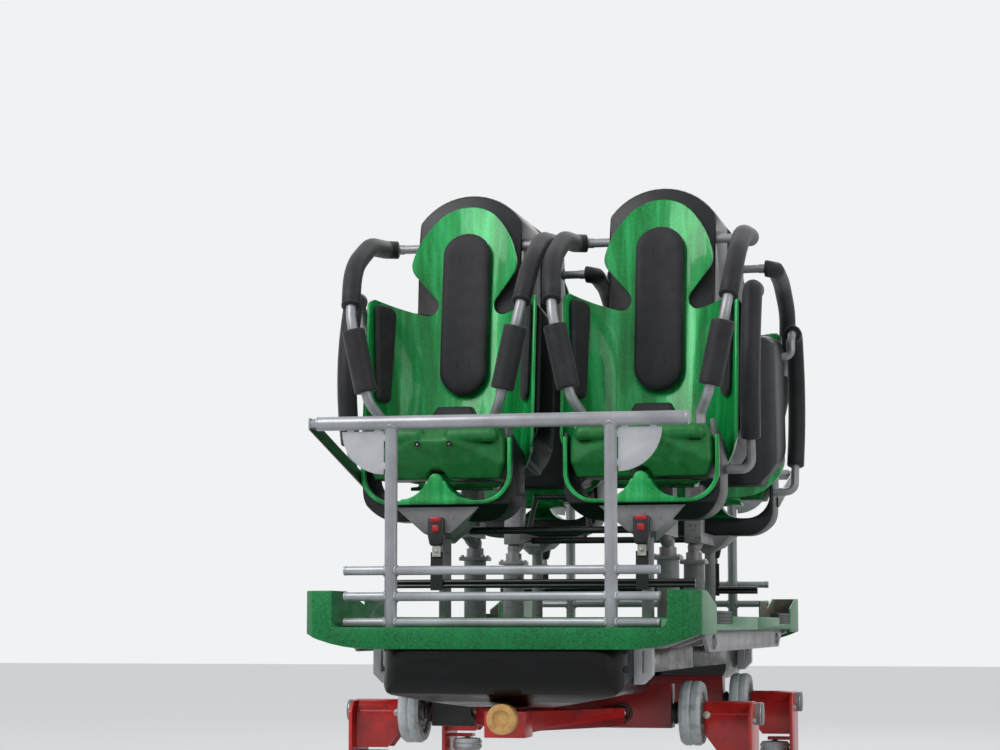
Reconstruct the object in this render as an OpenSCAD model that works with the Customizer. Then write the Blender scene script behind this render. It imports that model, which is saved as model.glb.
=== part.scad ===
// Roller coaster car: two pairs of seats back to back on one chassis with two axles.
// Heights are measured from the deck datum; the lowest wheel stands on z = 0.

/* [Car] */
// Height of the deck datum above the bottom of the lowest wheel
deck_z = 660; // [650:5:700]
// Distance of each step frame from the middle of the car
end_y = 1390; // [1370:5:1420]
// Distance of each seat's centre from the middle of the car
seat_x = 333; // [330:1:345]

/* [Deck] */
// Half width of the deck over its corner ears
deck_half_w = 598; // [590:2:620]
// Half width of the flat front of the lip
lip_half_w = 380; // [360:5:420]
// How far the lip stands in front of the step frame
lip_front = 50; // [44:1:60]
// Depth of the lip's front face
lip_h = 64; // [50:1:80]
// Thickness of the deck moulding
deck_t = 10; // [6:1:14]
// Height of the corner ears above the datum
ear_h = 99; // [80:1:120]
// Width of the corner ears
ear_w = 95; // [80:1:110]
// Distance of the crest behind the step frame
crest_y = 330; // [300:5:360]
// Height of the crest above the datum
crest_h = 21; // [10:1:30]
// Length of the ribbed rubber joint in each side
rubber_len = 380; // [300:5:400]

/* [Belly] */
// Half width of the belly fairing
belly_half_w = 372; // [362:1:380]
// Depth of the nose under the datum at its lowest
nose_depth = 247; // [230:1:250]
// Depth of the fairing's sides under the datum
side_depth = 150; // [146:1:160]
// Wall of the belly fairing
belly_t = 8; // [5:1:12]

/* [Step frame] */
// Height of the top bar above the datum
top_bar_h = 600; // [560:5:640]
// Half length of the top bar
top_bar_half = 560; // [540:5:580]
// Diameter of the top bar
top_bar_d = 42; // [38:1:46]
// Diameter of the uprights
upright_d = 38; // [34:1:42]
// Diameter of the rungs
rung_d = 27; // [22:1:30]
// Half length of the rungs
rung_half = 472; // [450:1:480]
// Height of the upper rung
rung_top_h = 158; // [150:1:170]
// Spacing of the rungs
rung_step = 77; // [70:1:80]
// Radius of the quarter circle plates
quarter_r = 130; // [110:1:140]

/* [Seat] */
// Half width of the seat shell over its wings
shell_half_w = 291; // [284:1:294]
// Thickness of the seat shell
shell_t = 12; // [8:1:14]
// How far the round bucket wraps to each side of its middle, in degrees
wing_angle = 78; // [76:0.5:79]
// Recline of the back in degrees
recline = 7; // [6:0.5:8]
// Height of the wings above the datum
wing_top_h = 1062; // [1055:1:1070]
// Height of the head lobe above the datum
lobe_top_h = 1433; // [1425:1:1440]
// Half width of the rim at the front of the seat
rim_half_w = 249; // [240:1:252]
// Height of the rim's top above the datum
rim_top_h = 592; // [570:1:600]
// Height of the rim's bottom above the datum
rim_low_h = 381; // [370:1:390]
// Depth of the cradle behind the rim
cradle_len = 185; // [170:5:190]
// Half width of the hood behind the head
hood_half_w = 180; // [170:1:184]
// Height of the hood above the datum
hood_top_h = 1470; // [1460:1:1485]
// Width of the back pad
pad_w = 165; // [150:1:180]
// Thickness of the back pad
pad_t = 38; // [30:1:45]

/* [Restraint] */
// Distance of the restraint's pivot behind the step frame
pivot_y = 1032; // [1030:1:1040]
// Height of the restraint's pivot above the datum
pivot_h = 1290; // [1285:1:1295]
// Diameter of the pivot shaft
shaft_d = 30; // [26:1:32]
// Diameter of the arm tubes
arm_d = 34; // [30:1:36]
// Diameter of the moulded shoulder foam
shoulder_d = 56; // [50:1:58]
// Diameter of the grip foam
grip_d = 76; // [70:1:78]
// Half width of the lap block
lap_half_w = 229; // [220:1:230]
// Height of the lap block
lap_h = 164; // [150:1:170]

/* [Supports] */
// Diameter of the thin post under each seat
thin_post_d = 40; // [34:1:46]
// Diameter of the main post under each seat
main_post_d = 75; // [68:1:82]
// Height of the main post's flange above the datum
flange_h = 215; // [200:1:225]
// Diameter of the side guard tubes
guard_tube_d = 30; // [26:1:34]
// Diameter of the side guard foam
guard_foam_d = 55; // [48:1:56]

/* [Running gear] */
// Distance of each axle from the middle of the car
axle_y = 620; // [600:5:640]
// Distance of the rail centres from the middle of the car
rail_x = 460; // [456:1:466]
// Diameter of the rail that the wheels clasp
rail_d = 130; // [126:1:134]
// Radius of the running wheels
run_r = 102.5; // [100:0.5:104]
// Width of the running wheels
run_w = 70; // [60:1:72]
// Radius of the guide wheels
guide_r = 55; // [48:1:56]
// Width of the guide wheels
guide_w = 44; // [36:1:46]
// Radius of the wheels under the rail
upstop_r = 70; // [64:1:72]
// Width of the wheels under the rail
upstop_w = 50; // [40:1:56]
// Diameter of the wheel axles
axle_d = 30; // [26:1:32]
// Diameter of the buffer rollers
roller_d = 90; // [80:1:96]

/* [Hidden] */

GREEN = "#128040";
LAP_GREEN = "#2c7a3c";
BLACK = "#202226";
FOAM = "#3a3a3d";
SILVER = "#a9abb3";
TUBE = "#8f9098";
STEEL = "#7d7a7c";
RED = "#b3201f";
TYRE = "#c3c9cc";
TAN = "#c89b5a";

// Running clearance of a shaft, and the small gap that keeps two pieces apart
run_gap = 0.5;
fit_gap = 0.3;

// Derived values
// Gap between the two halves at the middle of the car
mid_gap = 4;
// Ears and rubber joints, in the frame of one end
ear_x0 = deck_half_w - ear_w;
ear_t = 7;
ear_low_h = 58;
rubber_y = 330;
// Chassis heights and the place of the side plates
belly_top = -lip_h - deck_t;
frame_top = -2 * deck_t;
frame_low = -140;
plate_x = 562;
mount_w = 140;
// Running gear in the frame of one end
axle_yl = end_y - axle_y;
upstop_h = upstop_r - deck_z;
rail_h = upstop_h + upstop_r + 4 + rail_d / 2;
axle_h = rail_h + rail_d / 2 + run_r;
guide_x = rail_x + rail_d / 2 + 2 + guide_r;
beam_x = 395;
head_h = -296;
coupling_d = 32;
// Seat places behind the step frame
rim_y = 530;
cradle_y = rim_y + 26;
back_y = 930;
back_ref_h = 775;
bucket_r = shell_half_w / sin(wing_angle) - shell_t;
wing_y = back_y - bucket_r + (bucket_r + shell_t) * cos(wing_angle);
pad_low_h = 763;
pad_len = 569;
pan_h = 460;
hood_back_y = 1330;
lap_low = 463;
lap_top = lap_low + lap_h;
// Supports
foot_y = 565;
foot_h = 128;
post_y = 665;
main_y = 1085;
cross_y = 900;
beam_h = 330;
beam_t = 40;
beam_w = 60;
arm_top_h = 500;
// Restraint: where its shaft ends inside its arm tubes, and where the tubes begin
shaft_x = 250;
arm_x = 240;
// Turn between two rings of a bent bar, and the gap of a sleeve on a many-sided bar
bend_step = 16;
sleeve_gap = 0.3;
// Path of the side guard: out of the rim, up in a bow and down to the back's side
function guard_path() = [[rim_half_w + fit_gap, 715, 492], [329, 715, 492], [329, 700, 565], [335, 622, 805],
                         [335, 742, 1090], [335, 850, 1060], [335, 850, 985], [shell_half_w + 9 + fit_gap, 850, 985]];
guard_bends = [0, 34, 34, 520, 50, 40, 25, 0];

// Stations: column 0 is the end of the car (1 front, -1 rear), column 1 the side (1 right, -1 left)
STATIONS = [[1, -1], [1, 1], [-1, 1], [-1, -1]];

// Places its children for one end of the car, drawn as for the front
module at_end(end) {
  rotate([0, 0, end > 0 ? 0 : 180])
    translate([0, -end_y, deck_z])
      children();
}

// Places its children at one seat, drawn with the outboard side towards +X
module at_seat(station) {
  at_end(station[0])
    mirror([station[0] * station[1] > 0 ? 0 : 1, 0, 0])
      translate([seat_x, 0, 0])
        children();
}

// Both sides of the car's middle plane, or of a seat
module both() {
  children();
  mirror([1, 0, 0]) children();
}

// Points of an arc from angle a0 to a1 about a centre
function arc(c, r, a0, a1, n = 6) =
  [for (i = [0:n]) c + r * [cos(a0 + (a1 - a0) * i / n), sin(a0 + (a1 - a0) * i / n)]];
function flip(pts) = [for (i = [len(pts) - 1:-1:0]) [-pts[i][0], pts[i][1]]];

// A round bar between two points
module bar(a, b, d, fn = 32) {
  v = b - a;
  translate(a)
    rotate([0, acos(v[2] / norm(v)), atan2(v[1], v[0])])
      cylinder(d = d, h = norm(v), $fn = fn);
}

// Stations of a bent bar: its points with each corner rounded to its own radius, as [place, direction]
function unit(v) = v / norm(v);
function half_turn(p, i) = acos(unit(p[i] - p[i - 1]) * unit(p[i + 1] - p[i])) / 2;
function bend_stations(p, i, r) =
  let (a = unit(p[i] - p[i - 1]), b = unit(p[i + 1] - p[i]), h = half_turn(p, i),
       c = p[i] + unit(b - a) * r / cos(h), x = (p[i] - a * r * tan(h) - c) / r, n = ceil(2 * h / bend_step))
  [for (k = [0:n]) let (f = 2 * h * k / n) [c + r * (x * cos(f) + a * sin(f)), a * cos(f) - x * sin(f)]];
function stations(p, r) =
  [for (i = [0:len(p) - 1])
    each i == 0 ? [[p[0], unit(p[1] - p[0])]]
       : i == len(p) - 1 ? [[p[i], unit(p[i] - p[i - 1])]]
       : bend_stations(p, i, r[i])];
// One side direction for each station, carried along the bar so that it doesn't twist
function carried(v, d) = unit(v - (v * d) * d);
function sides_of(st, i, v) =
  i == len(st) ? [] : let (w = carried(v, st[i][1])) concat([w], sides_of(st, i + 1, w));

// A round bar of diameter d along the stations of a path, with n sides
module bent_bar(p, r, d, n) {
  st = stations(p, r);
  m = len(st);
  side = sides_of(st, 0, abs(st[0][1][2]) > 0.9 ? [1, 0, 0] : [0, 0, 1]);
  pts = [for (i = [0:m - 1], k = [0:n - 1])
          st[i][0] + d / 2 * (side[i] * cos(360 * k / n) + cross(st[i][1], side[i]) * sin(360 * k / n))];
  walls = [for (i = [0:m - 2], k = [0:n - 1])
            let (k1 = (k + 1) % n)
            each [[i * n + k, (i + 1) * n + k, (i + 1) * n + k1], [i * n + k, (i + 1) * n + k1, i * n + k1]]];
  polyhedron(pts, concat([[for (k = [0:n - 1]) k]], walls, [[for (k = [n - 1:-1:0]) (m - 1) * n + k]]));
}

// Extrudes a front view outline, drawn in x and height, from y0 to y1
module from_front(y0, y1) {
  translate([0, y1, 0]) rotate([90, 0, 0]) linear_extrude(y1 - y0) children();
}
// Extrudes a side view outline, drawn in y and height, across x0 to x1
module from_side(x0, x1) {
  translate([x0, 0, 0])
    rotate([90, 0, 90])
      linear_extrude(x1 - x0) children();
}

// Body pieces

// Outline of the deck in plan, inset by s, from the lip to the middle of the car
function deck_plan(s) =
  let (r = 800, a = asin((deck_half_w - 30 - lip_half_w) / (r - s)),
       right = concat(arc([lip_half_w, r - lip_front], r - s, -90, -90 + a, 5),
                      arc([deck_half_w - 30, 20], 30 - s, -45, 0, 3),
                      [[deck_half_w - s, end_y - mid_gap]]))
  concat(right, flip(right));

// Front view of the deck's lower edge, swept up towards its ends
module deck_front_view(top) {
  right = concat([[lip_half_w, -lip_h - deck_t]],
                 arc([lip_half_w, 540 - lip_h - deck_t], 540, -90, -67, 5),
                 [[deck_half_w + 20, -30], [deck_half_w + 20, top]]);
  polygon(concat(right, flip(right)));
}

module deck(end) {
  color(GREEN) at_end(end) {
    intersection() {
      union() {
        difference() {
          translate([0, 0, -lip_h - deck_t]) linear_extrude(lip_h) polygon(deck_plan(0));
          translate([0, 0, -lip_h - deck_t - 1]) linear_extrude(lip_h - deck_t + 1) polygon(deck_plan(deck_t));
          translate([-700, crest_y, -lip_h - 2 * deck_t]) cube([1400, end_y, lip_h]);
        }
        translate([0, 0, -2 * deck_t])
          linear_extrude(2 * deck_t)
            intersection() {
              polygon(deck_plan(0));
              translate([-700, crest_y]) square([1400, end_y]);
            }
      }
      from_front(-100, end_y) deck_front_view(200);
    }
    crest();
    both() ear();
    both() side_rail();
  }
}

// The bead across the deck behind the step well
module crest() {
  from_side(-ear_x0, ear_x0)
    polygon([[crest_y - 16, -deck_t], [crest_y - 8, crest_h - 4], [crest_y, crest_h],
             [crest_y + 12, crest_h], [crest_y + 20, crest_h - 6], [crest_y + 24, 0],
             [crest_y + 24, -deck_t]]);
}

// One corner ear: a hollow box whose outer wall slopes down to the rubber joint
module ear() {
  difference() {
    intersection() {
      translate([0, 0, -deck_t - 1]) linear_extrude(ear_h + deck_t + 1)
        intersection() {
          polygon(deck_plan(0));
          translate([ear_x0, -100]) square([200, 100 + rubber_y]);
        }
      from_side(0, deck_half_w + 1)
        polygon([[-60, -deck_t], [-60, ear_h], [120, ear_h], [rubber_y, ear_low_h], [rubber_y, -deck_t]]);
    }
    translate([0, 0, 0])
      linear_extrude(ear_h)
        intersection() {
          polygon(deck_plan(ear_t));
          translate([ear_x0 + ear_t, 60]) square([200, rubber_y]);
        }
  }
  translate([ear_x0, rubber_y, 0]) cube([ear_t, 230, ear_h - 12]);
}

// The low rail along the side behind the rubber joint
module side_rail() {
  translate([deck_half_w - 24, rubber_y + rubber_len, 0])
    cube([24, end_y - mid_gap - rubber_y - rubber_len, 24]);
}

module rubber_joints() {
  rib = rubber_len / 8;
  color(BLACK) for (end = [1, -1]) at_end(end) both()
    difference() {
      translate([deck_half_w - 34, rubber_y + fit_gap, fit_gap]) cube([32, rubber_len - 2 * fit_gap, 40]);
      for (h = [5:10:35])
        translate([deck_half_w - 5, rubber_y - 1, h + 2.5]) cube([10, rubber_len + 2, 4]);
    }
}

// Views of the belly fairing, inset by s
module belly_side_view(s) {
  polygon([[-30 + s, 40], [-30 + s, -120], [-18 + s, -165 + s / 2], [15 + s, -205 + s],
           [70, -nose_depth + 17 + s], [150, -nose_depth + s], [430, -nose_depth + s],
           [530, -side_depth + s], [end_y + 30, -side_depth + s], [end_y + 30, 40]]);
}
module belly_front_view(s) {
  w = belly_half_w - s;
  right = concat([[0, -nose_depth - 20 + s]], [[w - 190, -nose_depth + 8 + s]],
                 arc([w - 70, -side_depth], 70, -58, 0, 4), [[w, 40]]);
  polygon(concat(right, flip(right)));
}
module belly_plan(s) {
  right = concat(arc([belly_half_w - 110, 80], 110 - s, -90, 0, 8), [[belly_half_w - s, end_y - mid_gap]]);
  polygon(concat(right, flip(right)));
}
module belly_form(s, top) {
  intersection() {
    translate([0, 0, -400]) linear_extrude(400 + top) belly_plan(s);
    from_side(-500, 500) belly_side_view(s);
    from_front(-100, end_y + 10) belly_front_view(s);
  }
}
module belly(end) {
  color(BLACK) at_end(end)
    difference() {
      belly_form(0, belly_top);
      belly_form(belly_t, belly_top + 1);
      translate([-mount_w / 2 - 5, axle_yl - mount_w / 2 - 5, -300]) cube([mount_w + 10, mount_w + 10, 200]);
    }
}

// The steel frame inside the belly, and its plates under the deck
module chassis_frame() {
  rail_w = 60;
  x1 = belly_half_w - belly_t;
  color(STEEL) for (end = [1, -1]) at_end(end) {
    both() translate([x1 - rail_w, 90, frame_low]) cube([rail_w, end_y - 90, frame_top - frame_low]);
    translate([-x1 + rail_w, axle_yl - 60, frame_low]) cube([2 * (x1 - rail_w), 120, 60]);
    translate([-x1 + rail_w, 110, frame_low]) cube([2 * (x1 - rail_w), 60, 60]);
    translate([-x1 + rail_w, end_y - 80, frame_low]) cube([2 * (x1 - rail_w), 80, 60]);
    both() side_frame(x1 - rail_w);
  }
}

// Outriggers, side plate and slotted block of one side
module side_frame(x0) {
  for (y = [110, 400, 860, 1240])
    from_front(y, y + 90)
      polygon([[x0, frame_top], [x0, belly_top + 2], [belly_half_w + 90, belly_top + 2],
               [plate_x, frame_top - 14], [plate_x, frame_top]]);
  difference() {
    union() {
      from_side(plate_x - 12, plate_x)
        polygon([[rubber_y, frame_top], [rubber_y, frame_top - 22], [rubber_y + 90, frame_top - 66],
                 [end_y, frame_top - 66], [end_y, frame_top]]);
      translate([plate_x - 12, rubber_y + 180, frame_top - 36])
        rotate([0, 90, 0]) cylinder(d = 46, h = 18, $fn = 6);
    }
    translate([plate_x - 40, rubber_y + 180, frame_top - 36]) rotate([0, 90, 0]) cylinder(d = 22, h = 80, $fn = 32);
  }
  from_front(150, 195)
    difference() {
      x = belly_half_w + fit_gap;
      polygon([[x, belly_top + 6], [x, belly_top - 104], [x + 28, belly_top - 104], [x + 56, belly_top - 76],
               [x + 56, belly_top + 6]]);
      translate([x + 26, belly_top - 70]) square([5, 66]);
    }
}

// End frames and bars

module step_frames() {
  color(SILVER) for (end = [1, -1]) at_end(end) {
    both() {
      translate([seat_x, 0, -deck_t]) cylinder(d = upright_d, h = top_bar_h + deck_t, $fn = 48);
      quarter_plate();
    }
    translate([-top_bar_half, 0, top_bar_h]) rotate([0, 90, 0]) cylinder(d = top_bar_d, h = 2 * top_bar_half, $fn = 48);
    for (i = [0:2])
      translate([-rung_half, 0, rung_h(i)]) rotate([0, 90, 0]) cylinder(d = rung_d, h = 2 * rung_half, $fn = 32);
  }
}
function rung_h(i) = rung_top_h - i * rung_step;

// A quarter circle plate in the outer corner of upright and top bar
module quarter_plate() {
  x0 = seat_x + upright_d / 2;
  z1 = top_bar_h - top_bar_d / 2;
  from_front(-2.5, 2.5) {
    intersection() {
      translate([x0 + 4, z1 - 4]) circle(r = quarter_r, $fn = 96);
      translate([x0 + 4, z1 - 4 - quarter_r]) square(quarter_r);
    }
    for (k = [0.15, 0.8]) {
      translate([x0 - 4, z1 - 4 - k * quarter_r - 10]) square([9, 20]);
      translate([x0 + 4 + k * quarter_r - 10, z1 - 5]) square([20, 9]);
    }
  }
}

// The flat stay from the left end of each top bar to the cradle of the seat beside it
module bar_stays() {
  color(BLACK) for (end = [1, -1]) at_end(end)
    union() {
      x = -seat_x - rim_half_w - fit_gap;
      hull() {
        translate([x - 6, -17, top_bar_h - 17]) cube([6, 34, 34]);
        translate([x - 6, cradle_y + 20, rim_low_h + 60]) cube([6, 34, 34]);
      }
      translate([x - 1, 0, top_bar_h]) rotate([0, 90, 0]) cylinder(d = 32, h = -top_bar_half - fit_gap - x + 1, $fn = 32);
    }
}

module foot_bars() {
  color(BLACK) for (end = [1, -1]) at_end(end) {
    for (z = [-10.5, 10.5])
      translate([-500, foot_y, foot_h + z]) rotate([0, 90, 0]) cylinder(d = 21.6, h = 1000, $fn = 32);
    for (x = [-seat_x, seat_x])
      translate([x - 12, foot_y, foot_h - 8]) cube([24, post_y - thin_post_d / 2 - foot_y - fit_gap, 16]);
  }
}

module cross_frames() {
  x1 = seat_x - beam_w / 2;
  color(BLACK) for (end = [1, -1]) at_end(end) {
    translate([-x1, cross_y, beam_h - 20]) rotate([0, 90, 0]) cylinder(d = 24, h = 2 * x1, $fn = 32);
    both() bar([105, cross_y, beam_h - 20], [80, cross_y, beam_h + 90], 16);
    translate([-80, cross_y, beam_h + 90]) rotate([0, 90, 0]) cylinder(d = 16, h = 160, $fn = 32);
    both() translate([80, cross_y, beam_h + 90]) sphere(d = 18, $fn = 32);
  }
}

// Seats

// Tilts its children back about the seat's reference line
module reclined() {
  translate([0, back_y, back_ref_h])
    rotate([-recline, 0, 0])
      translate([0, -back_y, -back_ref_h])
        children();
}

// Front view of the shell: wings, notches, neck and head lobe
function shell_half() =
  let (w = shell_half_w + 1.5, t = lobe_top_h)
  concat([[0, pan_h]], arc([w - 140, pan_h + 140], 140, -90, 0, 6),
         arc([w - 30, wing_top_h - 30], 30, 0, 95, 5),
         arc([134, t - 355], 37, -75, -228, 9),
         arc([128.2, t - 222.8], 55, -50, 10, 5),
         arc([-152.4, t - 272.2], 340, 14, 38, 4),
         arc([0, t - 135], 135, 42, 90, 5));
module shell_view() {
  polygon(concat(shell_half(), flip(shell_half())));
}

// A round column about the bucket's axis
module bucket(r, h0, h1) {
  translate([0, back_y - bucket_r, h0]) cylinder(r = r, h = h1 - h0, $fn = 128);
}

// Plan of a bucket: straight sides, round back corners, open or closed front
module bucket_plan(w, y0, y1, r) {
  translate([-w, y0]) square([2 * w, y1 - y0 - r]);
  translate([-w + r, y0]) square([2 * (w - r), y1 - y0]);
  both() translate([w - r, y1 - r]) circle(r = r, $fn = 96);
}

// The round bucket, cut to its front view, with the front corners of its wings rounded
module seat_shell() {
  reclined()
    intersection() {
      difference() {
        bucket(bucket_r + shell_t, 300, 1600);
        bucket(bucket_r, 299, 1601);
      }
      from_front(wing_y - 20, back_y + shell_t + 1) shell_view();
      from_side(-400, 400)
        polygon(concat([[wing_y, 300]], arc([wing_y + 40, wing_top_h - 40], 40, 180, 100, 5),
                       [[wing_y + 60, 1600], [back_y + 20, 1600], [back_y + 20, 300]]));
    }
  pan();
}

// The curved seat pan under the back
module pan() {
  drop = (back_ref_h - pan_h - 14) * tan(recline);
  y1 = back_y - drop + shell_t / 2;
  intersection() {
    from_side(-140, 140)
      polygon([[cradle_y + cradle_len + 6, 437], [y1 - 60, 444], [y1 - 20, 458], [y1, 470], [y1, 500],
               [y1 - 14, 500], [y1 - 30, 470], [y1 - 66, 456], [cradle_y + cradle_len + 6, 449]]);
    translate([0, back_y - bucket_r - drop, 400]) cylinder(r = bucket_r + shell_t / 2, h = 200, $fn = 128);
  }
}

module back_shell() {
  w = shell_half_w + 9;
  difference() {
    union() {
      intersection() {
        reclined()
          intersection() {
            translate([0, 0, 300]) linear_extrude(900) bucket_plan(w, 750, back_y + 170, 140);
            from_front(0, 1400)
              union() {
                translate([-w, 640]) square([2 * w, wing_top_h - 650 - 60]);
                translate([-w + 60, 500]) square([2 * (w - 60), wing_top_h - 510]);
                both() translate([w - 60, wing_top_h - 70]) circle(r = 60, $fn = 64);
                both() translate([w - 140, 640]) circle(r = 140, $fn = 96);
              }
          }
        translate([-400, 0, arm_top_h]) cube([800, 1400, 1000]);
      }
      difference() {
        hood();
        reclined() translate([-400, 0, 200]) cube([800, back_y + shell_t + fit_gap, 1600]);
      }
    }
    reclined() bucket(bucket_r + shell_t + fit_gap, 200, 1800);
    reclined() translate([-400, 0, 200]) cube([800, back_y - bucket_r + 20, 1600]);
    translate([-400, pivot_y, pivot_h]) rotate([0, 90, 0]) cylinder(d = shaft_d + 2 * run_gap, h = 800, $fn = 64);
  }
}

// The hood behind the head, which holds the restraint's shaft
module hood() {
  r = 217;
  c = hood_half_w - 30;
  a = acos(c / (r - 30));
  right = concat([[hood_half_w, 980]], arc([c, hood_top_h - r + (r - 30) * sin(a)], 30, 0, a, 4),
                 arc([0, hood_top_h - r], r, a, 90, 8));
  intersection() {
    from_front(940, hood_back_y) polygon(concat(right, flip(right)));
    from_side(-300, 300)
      union() {
        translate([940, 980]) square([hood_back_y - 940 - 70, hood_top_h - 980]);
        translate([940, 980]) square([hood_back_y - 940, hood_top_h - 980 - 70]);
        translate([hood_back_y - 70, hood_top_h - 70]) circle(r = 70, $fn = 64);
      }
  }
}

module seat_rim() {
  t = 13;
  difference() {
    from_front(rim_y, cradle_y) rim_view(rim_half_w, rim_low_h, 100);
    from_front(rim_y - 1, cradle_y + 1) rim_view(rim_half_w - t, rim_low_h + t, 100 - t, 10);
  }
  intersection() {
    from_front(rim_y, cradle_y + 90)
      polygon(concat([[-115, rim_low_h + 4]], [[115, rim_low_h + 4]],
                     arc([115, rim_low_h + 107], 90, -90, -160, 5),
                     arc([0, rim_low_h + 74], 25, 0, 180, 8),
                     arc([-115, rim_low_h + 107], 90, -20, -90, 5)));
    from_side(-200, 200)
      polygon([[rim_y, rim_low_h], [rim_y, rim_low_h + 100], [cradle_y + 6, rim_low_h + 100],
               [cradle_y + 90, rim_low_h + 30], [cradle_y + 90, rim_low_h + 17], [cradle_y - 1, rim_low_h + 17],
               [cradle_y - 1, rim_low_h]]);
  }
}
module rim_view(w, low, r, up = 0) {
  translate([-w, low + r]) square([2 * w, rim_top_h + up - low - r]);
  translate([-w + r, low]) square([2 * (w - r), rim_top_h + up - low]);
  both() translate([w - r, low + r]) circle(r = r, $fn = 96);
}

module seat_cradle() {
  t = 13;
  y1 = cradle_y + cradle_len;
  difference() {
    intersection() {
      from_front(cradle_y, y1) rim_view(rim_half_w, beam_h, 100, 30);
      from_side(-300, 300)
        polygon([[cradle_y, rim_low_h], [cradle_y, rim_top_h + 14], [y1, rim_top_h - 40], [y1, beam_h],
                 [cradle_y + 60, beam_h]]);
    }
    from_front(cradle_y - 1, y1 + 1) rim_view(rim_half_w - t, rim_low_h + t, 100 - t, 60);
  }
}

module back_pad() {
  reclined()
    intersection() {
      from_front(back_y - pad_t, back_y)
        union() {
          translate([-pad_w / 2, pad_low_h + pad_w / 2]) square([pad_w, pad_len - pad_w]);
          for (h = [pad_low_h + pad_w / 2, pad_low_h + pad_len - pad_w / 2]) translate([0, h]) circle(d = pad_w, $fn = 96);
        }
      bucket(bucket_r - fit_gap, 700, 1400);
    }
}

// A curved pad on the inside of each wing
module wing_bolster() {
  y0 = wing_y + 18;
  reclined()
    intersection() {
      difference() {
        bucket(bucket_r - fit_gap, 600, 1200);
        bucket(bucket_r - 24, 599, 1201);
      }
      from_side(0, 400)
        polygon(concat(arc([y0 + 66, 1018], 30, 0, 90, 6), arc([y0 + 30, 1018], 30, 90, 180, 6),
                       arc([y0 + 50, 740], 26, 186, 270, 6), arc([y0 + 62, 740], 26, 270, 358, 6)));
    }
}

// The outboard side guard: a tube from the cradle up behind the restraint to the hood
module guard_tube() {
  bent_bar(guard_path(), guard_bends, guard_tube_d, 10);
}
module guard_sleeve() {
  p = guard_path();
  low = p[2] + 26 * unit(p[3] - p[2]);
  high = p[4] + 0.5 * (p[5] - p[4]);
  difference() {
    bent_bar([low, p[3], p[4], high], [0, guard_bends[3], guard_bends[4], 0], guard_foam_d, 12);
    bent_bar(p, guard_bends, guard_tube_d + 2 * sleeve_gap, 10);
  }
}

// Supports of one seat: thin post, gusset, seat beam, main post, flange and arm
module seat_support() {
  translate([0, post_y, 0]) cylinder(d = thin_post_d, h = beam_h - beam_t, $fn = 48);
  translate([-beam_w / 2, cradle_y, beam_h - beam_t]) cube([beam_w, main_y + 30 - cradle_y, beam_t]);
  hopper();
  translate([0, main_y, 0]) cylinder(d = main_post_d, h = flange_h, $fn = 64);
  translate([-46, main_y - 46, flange_h]) cube([92, 92, 12]);
  translate([0, main_y, flange_h]) cylinder(d = 58, h = 42, $fn = 64);
  translate([0, main_y, flange_h]) cylinder(d = 44, h = 60, $fn = 64);
  translate([0, main_y, flange_h + 60]) sphere(d = 46, $fn = 48);
  bar([0, main_y, flange_h + 60], [0, main_y - 150, beam_h - 20], 44, 64);
  from_side(-beam_w / 2, beam_w / 2)
    polygon([[main_y + 30, beam_h - beam_t], [main_y + 30, beam_h], [main_y, arm_top_h - fit_gap],
             [main_y - 90, arm_top_h - fit_gap], [main_y - 60, beam_h], [main_y - 60, beam_h - beam_t]]);
}

// The folded box under the cradle, with sloping sides and a gusset in front
module hopper() {
  top = rim_low_h - 7 - fit_gap;
  intersection() {
    from_front(cradle_y, cradle_y + cradle_len)
      polygon([[-140, top], [140, top], [14, 262], [-14, 262]]);
    from_side(-150, 150)
      polygon([[cradle_y, beam_h - beam_t], [cradle_y, top], [cradle_y + 52, beam_h - fit_gap],
               [cradle_y + cradle_len, beam_h - fit_gap], [cradle_y + cradle_len, 262]]);
  }
}

// Strap, tongue and buckle in front of the foot bar
module belt() {
  y1 = foot_y - 10.8 - fit_gap;
  low = foot_h - 21;
  translate([-20, y1 - 4, low]) cube([40, 4, 122]);
  translate([-11, y1 - 3, low + 122]) cube([22, 2, 22]);
  from_front(y1 - 21, y1 + 1)
    polygon([[-17, low + 142], [17, low + 142], [27, low + 166], [27, low + 232], [-27, low + 232], [-27, low + 166]]);
}

// Restraint of one seat

function arm_path() = [[arm_x, pivot_y, pivot_h], [298, pivot_y, pivot_h], [297, pivot_y - 232, pivot_h - 22],
                       [300, 600, 1165], [279, 506, 990], [219, 508, 715], [188, 558, lap_top + 36],
                       [188, 558, lap_top + fit_gap]];
arm_bends = [0, 34, 250, 280, 150, 70, 30, 0];

module restraint() {
  translate([-shaft_x, pivot_y, pivot_h]) rotate([0, 90, 0]) cylinder(d = shaft_d, h = 2 * shaft_x, $fn = 64);
  both() bent_bar(arm_path(), arm_bends, arm_d, 12);
}

module arm_foam() {
  p = arm_path();
  v = unit(p[4] - p[3]);
  w = unit(p[5] - p[4]);
  s0 = p[1] - [36, 0, 0];
  s4 = p[3] + 0.8 * (p[4] - p[3]);
  g0 = p[4] + 0.155 * (p[5] - p[4]);
  g1 = p[4] + 0.895 * (p[5] - p[4]);
  bends = [for (i = [0:4]) arm_bends[i]];
  both() {
    difference() {
      bent_bar([s0, p[1], p[2], p[3], s4], bends, shoulder_d, 12);
      bent_bar([s0 - [1.5, 0, 0], p[1], p[2], p[3], s4 + 2 * v], bends, arm_d + 2 * sleeve_gap, 12);
    }
    difference() {
      bar(g0, g1, grip_d, 48);
      bar(g0 - 2 * w, g1 + 2 * w, arm_d + 2 * fit_gap, 48);
    }
  }
}

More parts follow.
